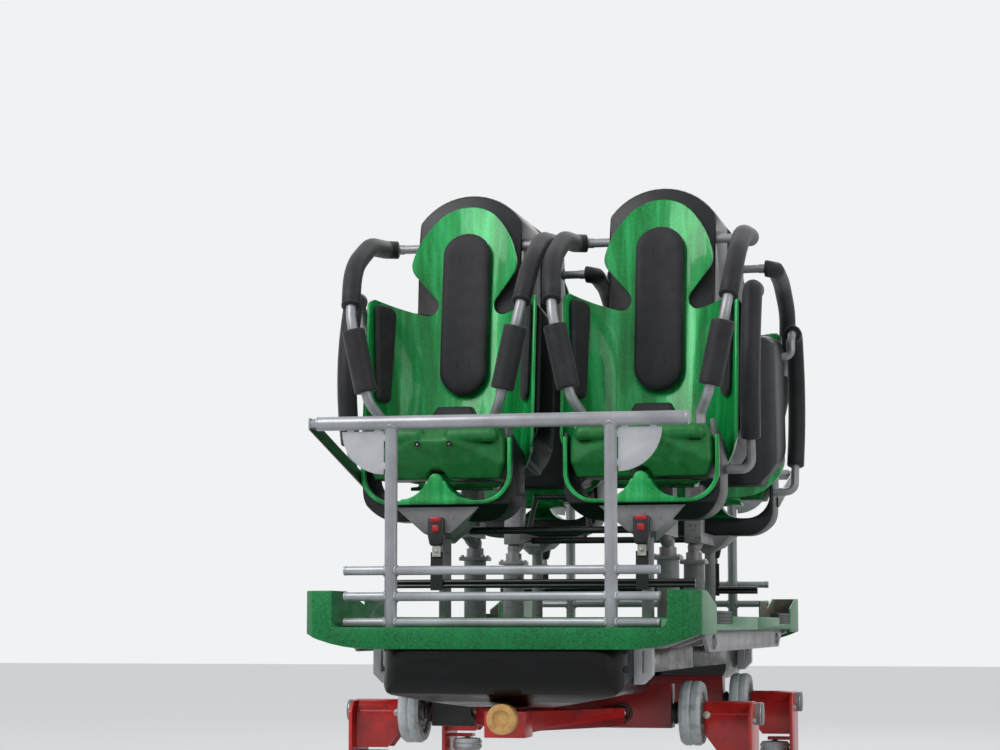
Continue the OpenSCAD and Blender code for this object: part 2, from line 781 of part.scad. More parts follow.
// The block over the lap: a faceted front whose ridge falls outwards, two rolls, an arch and a cap
module lap_block() {
  w = lap_half_w;
  difference() {
    union() {
      hull() {
        translate([-207, 534, lap_top - 1]) cube([414, 196, 1]);
        translate([-w, 548, lap_low + 50]) cube([2 * w, 184, 62]);
        translate([-w + 10, 531, lap_low + 46]) cube([2 * w - 20, 20, 2]);
        translate([-68, 500, lap_low + 117]) cube([136, 20, 3]);
        translate([-w + 22, 556, lap_low]) cube([2 * w - 44, 176, 1]);
      }
      both() translate([58, 524, lap_top - 27]) rotate([0, 90, 0]) cylinder(d = 54, h = 124, $fn = 48);
      both() for (x = [58, 182]) translate([x, 524, lap_top - 27]) sphere(d = 54, $fn = 48);
    }
    translate([0, 400, lap_low - 4]) rotate([-90, 0, 0]) cylinder(r = 36, h = 500, $fn = 64);
  }
  intersection() {
    from_side(-100, 100)
      polygon([[720, lap_top - 60], [720, lap_top - 2], [780, lap_top + 90], [830, lap_top + 92], [845, lap_top - 40],
               [835, lap_top - 60]]);
    from_front(700, 900)
      polygon([[-84, lap_top - 60], [84, lap_top - 60], [84, lap_top + 40], [56, lap_top + 92], [-56, lap_top + 92],
               [-84, lap_top + 40]]);
  }
}

// Running gear of one end

module bogie(end) {
  color(RED) at_end(end) {
    cross_beam();
    drawbar();
    both() carrier();
  }
}

module cross_beam() {
  difference() {
    union() {
      translate([-beam_x, axle_yl - 35, axle_h - 47]) cube([2 * beam_x, 70, 140]);
      translate([-mount_w / 2, axle_yl - mount_w / 2, axle_h + 93])
        cube([mount_w, mount_w, frame_low - axle_h - 93]);
      both() translate([238, axle_yl - 35, axle_h]) rotate([90, 0, 0]) cylinder(d = 62, h = 8, $fn = 48);
    }
    both() translate([238, axle_yl - 44, axle_h]) rotate([-90, 0, 0]) cylinder(d = 44, h = 12, $fn = 48);
  }
  both() translate([238, axle_yl - 33, axle_h]) rotate([90, 0, 0]) cylinder(d = 24, h = 12, $fn = 6);
}

// Drawbar from the cross beam forward to a head with the coupling's bore
module drawbar() {
  y1 = axle_yl - 35;
  difference() {
    union() {
      translate([-30, 200, head_h - 34]) cube([60, y1 - 200, 68]);
      translate([0, 0, head_h - 30]) linear_extrude(60)
        polygon([[-30, 420], [-170, y1], [-250, y1], [-30, 330], [30, 330], [250, y1], [170, y1], [30, 420]]);
      translate([-62, 62, head_h - 39]) linear_extrude(78)
        polygon([[0, 0], [124, 0], [124, 110], [94, 140], [30, 140], [0, 110]]);
    }
    translate([0, 130, head_h - 50]) cylinder(d = coupling_d, h = 100, $fn = 64);
  }
}

// One wheel carrier, drawn on the +X side: axle, outer tube, plates, guide pin and lower axle
module carrier() {
  w1 = rail_x + run_w / 2;
  spine_x = guide_x + guide_r + 9;
  translate([beam_x, axle_yl, axle_h]) rotate([0, 90, 0]) cylinder(d = 56, h = rail_x - run_w / 2 - 4 - beam_x, $fn = 48);
  translate([beam_x, axle_yl, axle_h]) rotate([0, 90, 0]) cylinder(d = axle_d, h = w1 + 5 - beam_x, $fn = 64);
  translate([w1 + 4, axle_yl, axle_h]) rotate([0, 90, 0]) cylinder(d = 78, h = spine_x + 12 - w1 - 4, $fn = 64);
  translate([spine_x + 10, axle_yl, axle_h]) rotate([0, 90, 0]) cylinder(d = 72, h = 28, $fn = 64);
  for (y = [-46, 34])
    from_front(axle_yl + y, axle_yl + y + 12)
      polygon([[w1 + 6, axle_h], [spine_x, axle_h], [spine_x, axle_h - 117], [w1 + 46, axle_h - 117],
               [w1 + 8, axle_h - 66]]);
  translate([0, axle_yl, 0]) from_side(spine_x, spine_x + 12)
    polygon([[-70, axle_h + 34], [70, axle_h + 34], [100, axle_h], [100, upstop_h + 40], [40, upstop_h - 44],
             [-40, upstop_h - 44], [-100, upstop_h + 40], [-100, axle_h]]);
  for (h = [guide_w / 2 + 6, -guide_w / 2 - 18])
    translate([guide_x - 24, axle_yl - 30, rail_h + h]) cube([spine_x - guide_x + 25, 60, 12]);
  translate([guide_x, axle_yl, rail_h - guide_w / 2 - 10]) cylinder(d = 20, h = guide_w + 20, $fn = 48);
  translate([rail_x + upstop_w / 2 + 15, axle_yl - 28, upstop_h - 28]) cube([spine_x - rail_x - upstop_w / 2 - 14, 56, 56]);
  translate([rail_x - upstop_w / 2 - 12, axle_yl, upstop_h]) rotate([0, 90, 0]) cylinder(d = 24, h = upstop_w + 30, $fn = 48);
  translate([rail_x - upstop_w / 2 - 12, axle_yl, upstop_h]) rotate([0, 90, 0]) cylinder(d = 42, h = 8, $fn = 48);
}

module end_buffers() {
  color(TAN) for (end = [1, -1]) at_end(end)
    difference() {
      translate([0, 62 - fit_gap, head_h + 17]) rotate([90, 0, 0]) cylinder(d = roller_d, h = 48, $fn = 64);
      translate([0, 20, head_h + 17]) rotate([90, 0, 0]) cylinder(d = 52, h = 20, $fn = 48);
    }
}

// A wheel about the X axis: tyre with a groove, hub and bore
module wheel(r, w, bore, hub) {
  rotate([0, 90, 0])
    rotate_extrude($fn = 96)
      polygon([[bore / 2, -w / 2 - 2], [hub, -w / 2 - 2], [hub, -w / 2 + 10], [r * 0.66, -w / 2 + 10], [r * 0.7, -w / 2],
               [r - 8, -w / 2], [r, -w / 2 + 12], [r, -5], [r - 3, -2], [r - 3, 2], [r, 5], [r, w / 2 - 12],
               [r - 8, w / 2], [r * 0.7, w / 2], [r * 0.66, w / 2 - 10], [hub, w / 2 - 10], [hub, w / 2 + 2],
               [bore / 2, w / 2 + 2]]);
}

module at_carrier(station) {
  at_end(station[0])
    mirror([station[0] * station[1] > 0 ? 0 : 1, 0, 0])
      translate([0, axle_yl, 0])
        children();
}

// Nodes

module seat_stations(end) {
  for (s = STATIONS) if (s[0] == end) at_seat(s) children();
}
module all_seats() {
  for (s = STATIONS) at_seat(s) children();
}

chassis_frame();
deck(1);  // deck_front
deck(-1);  // deck_rear
belly(1);  // belly_front
belly(-1);  // belly_rear
step_frames();
bar_stays();
foot_bars();
cross_frames();
color(GREEN) seat_stations(1) seat_shell();  // seat_shells_front
color(GREEN) seat_stations(-1) seat_shell();  // seat_shells_rear
color(BLACK) seat_stations(1) back_shell();  // back_shells_front
color(BLACK) seat_stations(-1) back_shell();  // back_shells_rear
color(GREEN) all_seats() seat_rim();  // seat_rims
color(BLACK) all_seats() seat_cradle();  // seat_cradles
color(FOAM) all_seats() back_pad();  // back_pads
color(FOAM) all_seats() both() wing_bolster();  // wing_bolsters
color(TUBE) all_seats() guard_tube();  // guard_tubes
color(FOAM) all_seats() guard_sleeve();  // guard_foam
color(STEEL) all_seats() seat_support();  // seat_posts
color(BLACK) all_seats() belt();  // belts
rubber_joints();
bogie(1);  // bogie_front
bogie(-1);  // bogie_rear
end_buffers();
for (i = [0:3]) {
  s = STATIONS[i];
  color(TUBE) at_seat(s) restraint();
  color(LAP_GREEN) at_seat(s) lap_block();
  color(FOAM) at_seat(s) arm_foam();
  color(TYRE) at_carrier(s) translate([rail_x, 0, axle_h]) wheel(run_r, run_w, axle_d + 2 * run_gap, 34);
  color(TYRE) at_carrier(s) translate([guide_x, 0, rail_h]) rotate([0, 90, 0])
      wheel(guide_r, guide_w, 20 + 2 * run_gap, 22);
  color(TYRE) at_carrier(s) translate([rail_x, 0, upstop_h]) wheel(upstop_r, upstop_w, 24 + 2 * run_gap, 26);
}
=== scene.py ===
import math

import bpy
from mathutils import Matrix, Vector


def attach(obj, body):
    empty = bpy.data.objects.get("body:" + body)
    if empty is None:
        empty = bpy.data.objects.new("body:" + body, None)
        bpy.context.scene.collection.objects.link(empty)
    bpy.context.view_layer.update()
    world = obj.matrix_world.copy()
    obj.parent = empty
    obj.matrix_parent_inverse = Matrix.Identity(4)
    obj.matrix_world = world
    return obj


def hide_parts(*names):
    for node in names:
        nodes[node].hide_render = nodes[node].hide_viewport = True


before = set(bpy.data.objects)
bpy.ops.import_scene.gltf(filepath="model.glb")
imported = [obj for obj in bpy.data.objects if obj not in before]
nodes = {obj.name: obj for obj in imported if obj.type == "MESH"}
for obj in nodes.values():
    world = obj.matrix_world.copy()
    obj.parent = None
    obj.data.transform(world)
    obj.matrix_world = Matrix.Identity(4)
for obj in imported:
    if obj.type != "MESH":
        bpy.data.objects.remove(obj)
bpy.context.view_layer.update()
print("frame loaded:", len(nodes), "nodes")

# Places of the ends, seats and wheels, in metres, as in the CAD
car = {"endY": 1.390, "seatX": 0.333, "deckZ": 0.660}
stations = [(1, -1), (1, 1), (-1, 1), (-1, -1)]  # the end, 1 front and -1 rear, then the side, the sign of X
seatBodies = ["restraint_1", "restraint_2", "restraint_3", "restraint_4"]


# From a seat's own frame, drawn on the front right seat, to its place in the car
def seatMatrix(station):
    end, side = station
    return Matrix(((side, 0, 0, side * car["seatX"]), (0, end, 0, -end * car["endY"]), (0, 0, 1, car["deckZ"]),
                   (0, 0, 0, 1)))


# From an end's own frame, drawn on the front end, to its place in the car
def endMatrix(end):
    return Matrix(((end, 0, 0, 0), (0, end, 0, -end * car["endY"]), (0, 0, 1, car["deckZ"]), (0, 0, 0, 1)))


# Camera at the photograph's place, angles in degrees
camera = {"at": (1.573, -8.311, 0.66), "tilt": 95.923, "turn": 12.8, "lens": 86.4, "sensor": 36, "far": 60}
bpy.ops.object.select_all(action="DESELECT")
bpy.ops.object.camera_add(location=camera["at"],
                          rotation=(math.radians(camera["tilt"]), 0, math.radians(camera["turn"])))
cameraObject = bpy.context.object
cameraObject.data.lens = camera["lens"]
cameraObject.data.sensor_width = camera["sensor"]
cameraObject.data.clip_end = camera["far"]
bpy.context.scene.camera = cameraObject


# Materials
def paint(code):
    # sRGB hex to linear
    parts = [int(code[i:i + 2], 16) / 255 for i in (1, 3, 5)]
    return tuple(c / 12.92 if c <= 0.04045 else ((c + 0.055) / 1.055) ** 2.4 for c in parts) + (1,)


# Adds a node with its inputs, links and settings and gives back one of its outputs. Stops are the places of a
# colour ramp, each with a hex colour or a grey level
def addNode(tree, kind, inputs, out=0, stops=(), **settings):
    made = tree.nodes.new(kind)
    for key, value in settings.items():
        setattr(made, key, value)
    for key, value in inputs.items():
        if isinstance(value, bpy.types.NodeSocket):
            tree.links.new(value, made.inputs[key])
        else:
            made.inputs[key].default_value = paint(value) if isinstance(value, str) else value
    for _ in stops[2:]:
        made.color_ramp.elements.new(0.5)
    for index, (position, tone) in enumerate(stops):
        element = made.color_ramp.elements[index]
        element.position = position
        element.color = paint(tone) if isinstance(tone, str) else (tone, tone, tone, 1)
    return made.outputs[out] if made.outputs else made


def newMaterial(name):
    material = bpy.data.materials.new(name)
    material.use_nodes = True
    material.node_tree.nodes.clear()
    return material, material.node_tree, addNode(material.node_tree, "ShaderNodeTexCoord", {}, "Object")


def finishMaterial(material, tree, shader):
    surface = addNode(tree, "ShaderNodeBsdfPrincipled", shader)
    addNode(tree, "ShaderNodeOutputMaterial", {"Surface": surface})
    return material


# Moulded fibreglass with a metal flake gel coat under clear: sparkle, long vertical streaks and a hard gloss.
# The flakes are drawn at about 4 mm, coarser than the real ones, so that they show
flakes = {"stretch": (3.4, 3.4, 0.13), "specular": 0.3, "clearRoughness": 0.07, "metallic": 0.2,
          "bump": 0.12, "depth": 0.0006}
seatCoat = {"dark": "#045c27", "mid": "#0a8a3e", "light": "#1fae57", "shade": "#056e30", "body": "#0b9544",
            "glow": "#32bd6c", "flake": 0.0038, "streak": 0.16, "cloudy": 0.6, "roughness": 0.38, "clear": 0.3}
deckCoat = {"dark": "#033f1e", "mid": "#087039", "light": "#128a49", "shade": "#06602f", "body": "#087039",
            "glow": "#0f8245", "flake": 0.0042, "streak": 0.5, "cloudy": 0.35, "roughness": 0.46, "clear": 0.12}


def flakeGelCoat(name, coat):
    material, tree, place = newMaterial(name)
    cells = addNode(tree, "ShaderNodeTexVoronoi", {"Vector": place, "Scale": 1 / coat["flake"]}, "Color")
    sparkle = addNode(tree, "ShaderNodeSeparateColor", {"Color": cells})
    along = addNode(tree, "ShaderNodeMapping", {"Vector": place, "Scale": flakes["stretch"]})
    streaks = addNode(tree, "ShaderNodeTexNoise",
                      {"Vector": along, "Scale": 1 / coat["streak"], "Detail": 5, "Roughness": 0.62}, "Fac")
    base = addNode(tree, "ShaderNodeValToRGB", {"Fac": sparkle},
                   stops=[(0.0, coat["dark"]), (0.4, coat["mid"]), (0.8, coat["mid"]), (1.0, coat["light"])])
    cloud = addNode(tree, "ShaderNodeValToRGB", {"Fac": streaks},
                    stops=[(0.38, coat["shade"]), (0.5, coat["body"]), (0.62, coat["glow"])])
    return finishMaterial(material, tree, {
        "Base Color": addNode(tree, "ShaderNodeMix", {0: coat["cloudy"], 6: base, 7: cloud}, 2, data_type="RGBA"),
        "Normal": addNode(tree, "ShaderNodeBump",
                          {"Height": sparkle, "Strength": flakes["bump"], "Distance": flakes["depth"]}),
        "Roughness": coat["roughness"], "Metallic": flakes["metallic"], "Specular IOR Level": flakes["specular"],
        "Coat Weight": coat["clear"], "Coat Roughness": flakes["clearRoughness"]})


# Paint chips, in noise of about 24 mm, bare where it is high
chipSpots = {"Scale": 42, "Detail": 8, "Roughness": 0.72}
chipShown = [(0.60, 0.0), (0.63, 1.0)]


# A finish whose tone drifts in clouds: noise per metre, its detail and roughness. Gloss lets the roughness drift too,
# chips show another colour in spots, and grain or peel raises the surface: cells of a size in metres, or noise per
# metre with its detail, each with a strength and a depth
def cloudyFinish(name, look):
    material, tree, place = newMaterial(name)
    scale, detail, rough = look["clouds"]
    along = place
    if "stretch" in look:
        along = addNode(tree, "ShaderNodeMapping", {"Vector": place, "Scale": look["stretch"]})
    clouds = addNode(tree, "ShaderNodeTexNoise",
                     {"Vector": along, "Scale": scale, "Detail": detail, "Roughness": rough}, "Fac")
    shader = dict(look["shader"])
    shader["Base Color"] = addNode(tree, "ShaderNodeValToRGB", {"Fac": clouds}, stops=look["tones"])
    if "gloss" in look:
        shader["Roughness"] = addNode(tree, "ShaderNodeValToRGB", {"Fac": clouds}, stops=look["gloss"])
    if "chips" in look:
        spots = addNode(tree, "ShaderNodeTexNoise", {"Vector": place, **chipSpots}, "Fac")
        bare = addNode(tree, "ShaderNodeValToRGB", {"Fac": spots}, stops=chipShown)
        shader["Base Color"] = addNode(tree, "ShaderNodeMix", {0: bare, 6: shader["Base Color"], 7: look["chips"]}, 2,
                                       data_type="RGBA")
    if "grain" in look:
        size, strength, depth = look["grain"]
        height = addNode(tree, "ShaderNodeTexVoronoi", {"Vector": place, "Scale": 1 / size}, "Distance")
    if "peel" in look:
        scale, detail, strength, depth = look["peel"]
        height = addNode(tree, "ShaderNodeTexNoise",
                         {"Vector": place, "Scale": scale, "Detail": detail, "Roughness": 0.5}, "Fac")
    if "grain" in look or "peel" in look:
        shader["Normal"] = addNode(tree, "ShaderNodeBump", {"Height": height, "Strength": strength, "Distance": depth})
    return finishMaterial(material, tree, shader)


# Enamel brushed on welded steel: slight orange peel, grime in clouds of about 140 mm, chips where asked
def enamelOnSteel(name, base, light, dirt, roughness, metallic=0.0, chips=None, dirtAt=0.78):
    look = {"clouds": (7, 6, 0.62), "tones": [(0.32, light), (0.52, base), (dirtAt, dirt)],
            "peel": (160, 3, 0.1, 0.0008),
            "shader": {"Roughness": roughness, "Metallic": metallic, "Coat Weight": 0.2, "Coat Roughness": 0.2}}
    if chips:
        look["chips"] = chips
    return cloudyFinish(name, look)


# Injection moulded plastic with fine handling marks, about 20 mm apart
def plainPlastic(name, light, dark, roughness):
    tones = [(0.35, light), (0.72, dark)]
    return cloudyFinish(name, {"clouds": (50, 5, 0.5), "tones": tones, "shader": {"Roughness": roughness}})


# Woven black webbing, 1.5 mm ribs drawn at 3 mm so that they show
def beltWebbing(period=0.006):
    material, tree, place = newMaterial("wovenWebbing")
    weave = addNode(tree, "ShaderNodeTexWave", {"Vector": place, "Scale": 1 / period, "Distortion": 0.0}, "Fac",
                    bands_direction="DIAGONAL")
    return finishMaterial(material, tree, {
        "Base Color": addNode(tree, "ShaderNodeValToRGB", {"Fac": weave}, stops=[(0.2, "#121314"), (0.8, "#26272a")]),
        "Normal": addNode(tree, "ShaderNodeBump", {"Height": weave, "Strength": 0.3, "Distance": 0.0008}),
        "Roughness": 0.75})


green = flakeGelCoat("flakeGelCoat", seatCoat)
deckGreen = flakeGelCoat("flakeGelCoatWorn", deckCoat)
# Moulded polyurethane skin in green, satin, a little scuffed
lapGreen = cloudyFinish("satinLapMoulding", {
    "clouds": (30, 6, 0.65), "tones": [(0.35, "#17632b"), (0.6, "#207638"), (0.75, "#2c8545")],
    "gloss": [(0.3, 0.36), (0.7, 0.5)], "peel": (600, 2, 0.06, 0.0005),
    "shader": {"Specular IOR Level": 0.3, "Coat Weight": 0.05, "Coat Roughness": 0.3}})
# Black gel coat on fibreglass: deep and glossy, with wiped dust
glossBlack = cloudyFinish("glossBlackMoulding", {
    "clouds": (9, 7, 0.62), "stretch": (1, 1, 2.2), "tones": [(0.42, "#040506"), (0.62, "#090a0c"), (0.82, "#17191b")],
    "gloss": [(0.35, 0.2), (0.7, 0.42)],
    "shader": {"Specular IOR Level": 0.16, "Coat Weight": 0.12, "Coat Roughness": 0.12}})
# Black textured moulding of the seat backs, more satin, with a fine leather grain of 4 mm
hoodBlack = cloudyFinish("satinBlackHood", {
    "clouds": (12, 6, 0.6), "tones": [(0.4, "#151619"), (0.62, "#1e1f22"), (0.8, "#2c2d30")],
    "grain": (0.004, 0.1, 0.0008),
    "shader": {"Roughness": 0.45, "Specular IOR Level": 0.3, "Coat Weight": 0.08, "Coat Roughness": 0.25}})
# Integral skin polyurethane foam: charcoal, matte sheen, pebbles of 3.5 mm
foam = cloudyFinish("integralSkinFoam", {
    "clouds": (18, 6, 0.6), "tones": [(0.35, "#1b1b1d"), (0.6, "#252528"), (0.8, "#343438")],
    "grain": (0.0035, 0.22, 0.0009),
    "shader": {"Roughness": 0.55, "Specular IOR Level": 0.25, "Sheen Weight": 0.15}})
silver = enamelOnSteel("silverEnamel", "#999b9f", "#a8aaae", "#828284", 0.36, 0.35)
tubeGrey = enamelOnSteel("greyEnamelTube", "#929397", "#a1a2a6", "#767575", 0.38, 0.3)
steelGrey = enamelOnSteel("grimyGreyEnamel", "#7f7d80", "#929094", "#5b5651", 0.48, 0.15, "#6a5344")
redEnamel = enamelOnSteel("redEnamel", "#c4201f", "#d62c27", "#841412", 0.3, 0.0, "#4b3a33", 0.76)
# A darker copy of the red enamel for the bogie's beam: the darker base is painted shade, as the beam lies in shadow
# under the car; its grime and chips are as on the rest
shadedRed = enamelOnSteel("shadedRedEnamel", "#861a1b", "#9c1f1f", "#4f1212", 0.42, 0.0, "#3b302b", 0.71)
barBlack = enamelOnSteel("blackEnamelBar", "#1c1d1f", "#26282a", "#38393a", 0.35)
paleGrey = enamelOnSteel("paleGreyPlate", "#b4b5b8", "#c0c1c4", "#98989a", 0.5)
hubGrey = enamelOnSteel("hubSteel", "#6f6d6c", "#82807e", "#3f3b37", 0.5, 0.3)
# Cast polyurethane tread: pale grey green, waxy, with grey brown road film
tyre = cloudyFinish("castPolyurethaneTread", {
    "clouds": (26, 7, 0.66), "tones": [(0.36, "#cdd4d6"), (0.56, "#b9c0c2"), (0.74, "#8a8781")],
    "shader": {"Roughness": 0.45, "Subsurface Weight": 0.05}})
# The same tread's flanks, browned by grease and dust
tyreSide = cloudyFinish("wornTyreSide", {
    "clouds": (30, 7, 0.7), "tones": [(0.34, "#b4b2aa"), (0.5, "#8d8274"), (0.7, "#5c5348")],
    "shader": {"Roughness": 0.6}})
# Tan cast nylon, turned, with oily streaks
nylon = cloudyFinish("castNylon", {
    "clouds": (40, 6, 0.6), "tones": [(0.35, "#d3a766"), (0.58, "#bf8f50"), (0.76, "#7d5a31")],
    "shader": {"Roughness": 0.4}})
# Zinc plated fasteners: dull bright metal, slightly cloudy
zinc = cloudyFinish("zincPlatedSteel", {
    "clouds": (60, 4, 0.5), "tones": [(0.35, "#c4c2bb"), (0.7, "#8f8d86")],
    "shader": {"Roughness": 0.36, "Metallic": 1.0}})
# Black moulded rubber with a grey bloom
rubber = cloudyFinish("mouldedRubber", {
    "clouds": (22, 5, 0.5), "tones": [(0.35, "#1b1c1d"), (0.7, "#2e2f30")], "peel": (400, 2, 0.12, 0.0005),
    "shader": {"Roughness": 0.6}})
webbing = beltWebbing()
buckleBlack = plainPlastic("buckleShell", "#1a1b1d", "#242629", 0.35)
buttonRed = plainPlastic("buckleButton", "#c3211f", "#a81a19", 0.3)
# Near black plastic for flat discs that paint the shade inside holes and recesses
holeShade = plainPlastic("paintedHoleShade", "#0c0c0d", "#121213", 0.8)
laminate = plainPlastic("bareLaminate", "#6d665c", "#544e45", 0.7)
print("materials made")


# Modelling helpers
def deselect():
    if bpy.context.object and bpy.context.object.mode != "OBJECT":
        bpy.ops.object.mode_set(mode="OBJECT")
    bpy.ops.object.select_all(action="DESELECT")


def pick(piece):
    deselect()
    piece.select_set(True)
    bpy.context.view_layer.objects.active = piece


# Runs edit mode operators, each with its settings, on the whole of a piece
def editAll(piece, *steps):
    pick(piece)
    bpy.ops.object.mode_set(mode="EDIT")
    bpy.ops.mesh.select_all(action="SELECT")
    for operator, settings in steps:
        operator(**settings)
    bpy.ops.object.mode_set(mode="OBJECT")
    return piece


def smooth(piece, angle=35):
    pick(piece)
    bpy.ops.object.shade_smooth_by_angle(angle=math.radians(angle))


def addModifier(piece, kind, **settings):
    pick(piece)
    modifier = piece.modifiers.new(kind.lower(), kind)
    for key, value in settings.items():
        setattr(modifier, key, value)
    bpy.ops.object.modifier_apply(modifier=modifier.name)


def roundEdges(piece, width, segments=2, angle=35):
    addModifier(piece, "BEVEL", width=width, segments=segments, limit_method="ANGLE", angle_limit=math.radians(angle),
                use_clamp_overlap=False, miter_outer="MITER_ARC" if segments > 2 else "MITER_SHARP")


def setMaterial(piece, *materials):
    piece.data.materials.clear()
    for material in materials:
        piece.data.materials.append(material)
    return piece


# A part's finish and its shading, in one go
def finished(piece, material, angle):
    setMaterial(piece, material)
    smooth(piece, angle)
    return piece


def paintFaces(piece, index, test):
    for face in piece.data.polygons:
        if test(face.center, face.normal):
            face.material_index = index


def rideAs(piece, body, slotName, *replaced):
    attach(piece, body)
    if replaced:
        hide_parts(*replaced)
    return piece


# A merged copy of a CAD node, its edges rounded as a real casting or weldment has them
merging = {"apart": 0.00002, "flatWithin": 0.4}


def refineNode(nodeName, material, slotName, edge, body="root", angle=35):
    piece = nodes[nodeName].copy()
    piece.data = nodes[nodeName].data.copy()
    piece.parent = None
    for key in list(piece.keys()):
        if key.startswith("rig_"):
            del piece[key]
    bpy.context.scene.collection.objects.link(piece)
    piece.name = nodeName + "_finished"
    setMaterial(piece, material)
    pick(piece)
    bpy.ops.mesh.customdata_custom_splitnormals_clear()
    editAll(piece, (bpy.ops.mesh.remove_doubles, {"threshold": merging["apart"]}),
            (bpy.ops.mesh.dissolve_limited, {"angle_limit": math.radians(merging["flatWithin"])}))
    if edge:
        roundEdges(piece, edge, 2, angle)
    smooth(piece, angle)
    return rideAs(piece, body, slotName, nodeName)


# Each node's finish, its slot and the radius of its edges
refined = {
    "chassis_frame": (steelGrey, "steel_grey", 0.0015),
    "deck_front": (deckGreen, "green_grp", 0.0032), "deck_rear": (deckGreen, "green_grp", 0.0032),
    "belly_front": (glossBlack, "black_gloss", 0.002), "belly_rear": (glossBlack, "black_gloss", 0.002),
    "step_frames": (silver, "silver_paint", 0.001), "bar_stays": (barBlack, "black_metal", 0.0015),
    "foot_bars": (barBlack, "black_metal", 0.001), "cross_frames": (barBlack, "black_metal", 0),
    "seat_shells_front": (green, "green_grp", 0.004), "seat_shells_rear": (green, "green_grp", 0.004),
    "back_shells_front": (hoodBlack, "black_gloss", 0.010), "back_shells_rear": (hoodBlack, "black_gloss", 0.010),
    "seat_rims": (green, "green_grp", 0.003), "seat_cradles": (hoodBlack, "black_gloss", 0.003),
    "guard_tubes": (tubeGrey, "tube_grey", 0), "seat_posts": (steelGrey, "steel_grey", 0.001),
    "rubber_joints": (rubber, "black_rubber", 0.001),
    "bogie_front": (redEnamel, "red_paint", 0.002), "bogie_rear": (redEnamel, "red_paint", 0.002),
    "end_buffers": (nylon, "tan_plastic", 0.003),
}
for nodeName, (material, slotName, edge) in refined.items():
    refineNode(nodeName, material, slotName, edge)
for body in seatBodies:
    refineNode(body, tubeGrey, "tube_grey", 0, body)
print("metal and mouldings refined")


# Copies a piece drawn in a seat's or an end's own frame to its place
def placed(model, name, matrix):
    piece = model.copy()
    piece.data = model.data.copy()
    piece.name = name
    bpy.context.scene.collection.objects.link(piece)
    piece.data.transform(matrix)
    if matrix.determinant() < 0:
        editAll(piece, (bpy.ops.mesh.flip_normals, {}))
    return piece


def mirrored(piece, name):
    return placed(piece, name, Matrix.Diagonal((-1, 1, 1, 1)))


def remove(piece):
    mesh = piece.data
    bpy.data.objects.remove(piece)
    bpy.data.meshes.remove(mesh)


def toAllSeats(model, label, slotName, bodies=None, replaced=None):
    made = []
    for index, station in enumerate(stations, 1):
        piece = placed(model, f"{label}_{index}", seatMatrix(station))
        rideAs(piece, bodies[index - 1] if bodies else "root", slotName,
               *([replaced.format(index)] if replaced else []))
        made.append(piece)
    remove(model)
    return made


def toBothEnds(model, label, slotName):
    for end, word in ((1, "front"), (-1, "rear")):
        rideAs(placed(model, f"{label}_{word}", endMatrix(end)), "root", slotName)
    remove(model)


def joinPieces(pieces, name):
    deselect()
    for piece in pieces:
        piece.select_set(True)
    bpy.context.view_layer.objects.active = pieces[0]
    if len(pieces) > 1:
        bpy.ops.object.join()
    pieces[0].name = name
    return pieces[0]


def settle(piece):
    pick(piece)
    bpy.ops.object.transform_apply(location=True, rotation=True, scale=True)
    return piece


# A flat outline, drawn as (across, up) points, made an n-gon with its face towards the front (-Y)
def outlinePiece(name, points, y):
    deselect()
    bpy.ops.mesh.primitive_circle_add(vertices=len(points), radius=0.1, fill_type="NGON", rotation=(math.pi / 2, 0, 0))
    piece = bpy.context.object
    piece.name = name
    settle(piece)
    for vertex, (across, up) in zip(piece.data.vertices, points):
        vertex.co = (across, y, up)
    if piece.data.polygons[0].normal.y > 0:
        editAll(piece, (bpy.ops.mesh.flip_normals, {}))
    return piece


# Raises an outline into a crowned pad: a wall, a rolled edge and a domed face
def crown(piece, wall, steps=()):
    pick(piece)
    bpy.ops.object.mode_set(mode="EDIT")
    bpy.ops.mesh.select_mode(type="FACE")
    bpy.ops.mesh.select_all(action="SELECT")
    bpy.ops.mesh.extrude_region_move(TRANSFORM_OT_translate={"value": (0, -wall, 0)})
    for inward, up in steps:
        bpy.ops.mesh.inset(thickness=inward, depth=up)
    bpy.ops.object.mode_set(mode="OBJECT")
    return piece


def stadium(width, low, high, count=24):
    r = width / 2
    half = [(math.cos(math.pi * i / count), math.sin(math.pi * i / count)) for i in range(count + 1)]
    return [(r * c, high - r + r * s) for c, s in half] + [(-r * c, low + r - r * s) for c, s in half]


def cornerArc(x, z, r, start, stop, count=6):
    angles = [math.radians(start + (stop - start) * i / count) for i in range(count + 1)]
    return [(x + r * math.cos(a), z + r * math.sin(a)) for a in angles]


def roundedBox(x0, x1, z0, z1, r, count=6):
    corners = ((x1 - r, z1 - r, 0), (x0 + r, z1 - r, 90), (x0 + r, z0 + r, 180), (x1 - r, z0 + r, 270))
    return [spot for x, z, start in corners for spot in cornerArc(x, z, r, start, start + 90, count)]


# A capped tube along points, with a radius at each
def tube(name, points, radii, sides=20):
    deselect()
    bpy.ops.curve.primitive_nurbs_path_add()
    piece = bpy.context.object
    piece.name = name
    curve = piece.data
    curve.splines.clear()
    spline = curve.splines.new("POLY")
    spline.points.add(len(points) - 1)
    widest = max(radii)
    for point, place, radius in zip(spline.points, points, radii):
        point.co = (*place, 1)
        point.radius = radius / widest
    curve.bevel_depth = widest
    curve.bevel_resolution = sides // 4
    curve.use_fill_caps = True
    piece.location = (0, 0, 0)
    pick(piece)
    bpy.ops.object.convert(target="MESH")
    piece = settle(bpy.context.object)
    return editAll(piece, (bpy.ops.mesh.remove_doubles, {"threshold": 0.00001}),
                   (bpy.ops.mesh.normals_make_consistent, {"inside": False}))


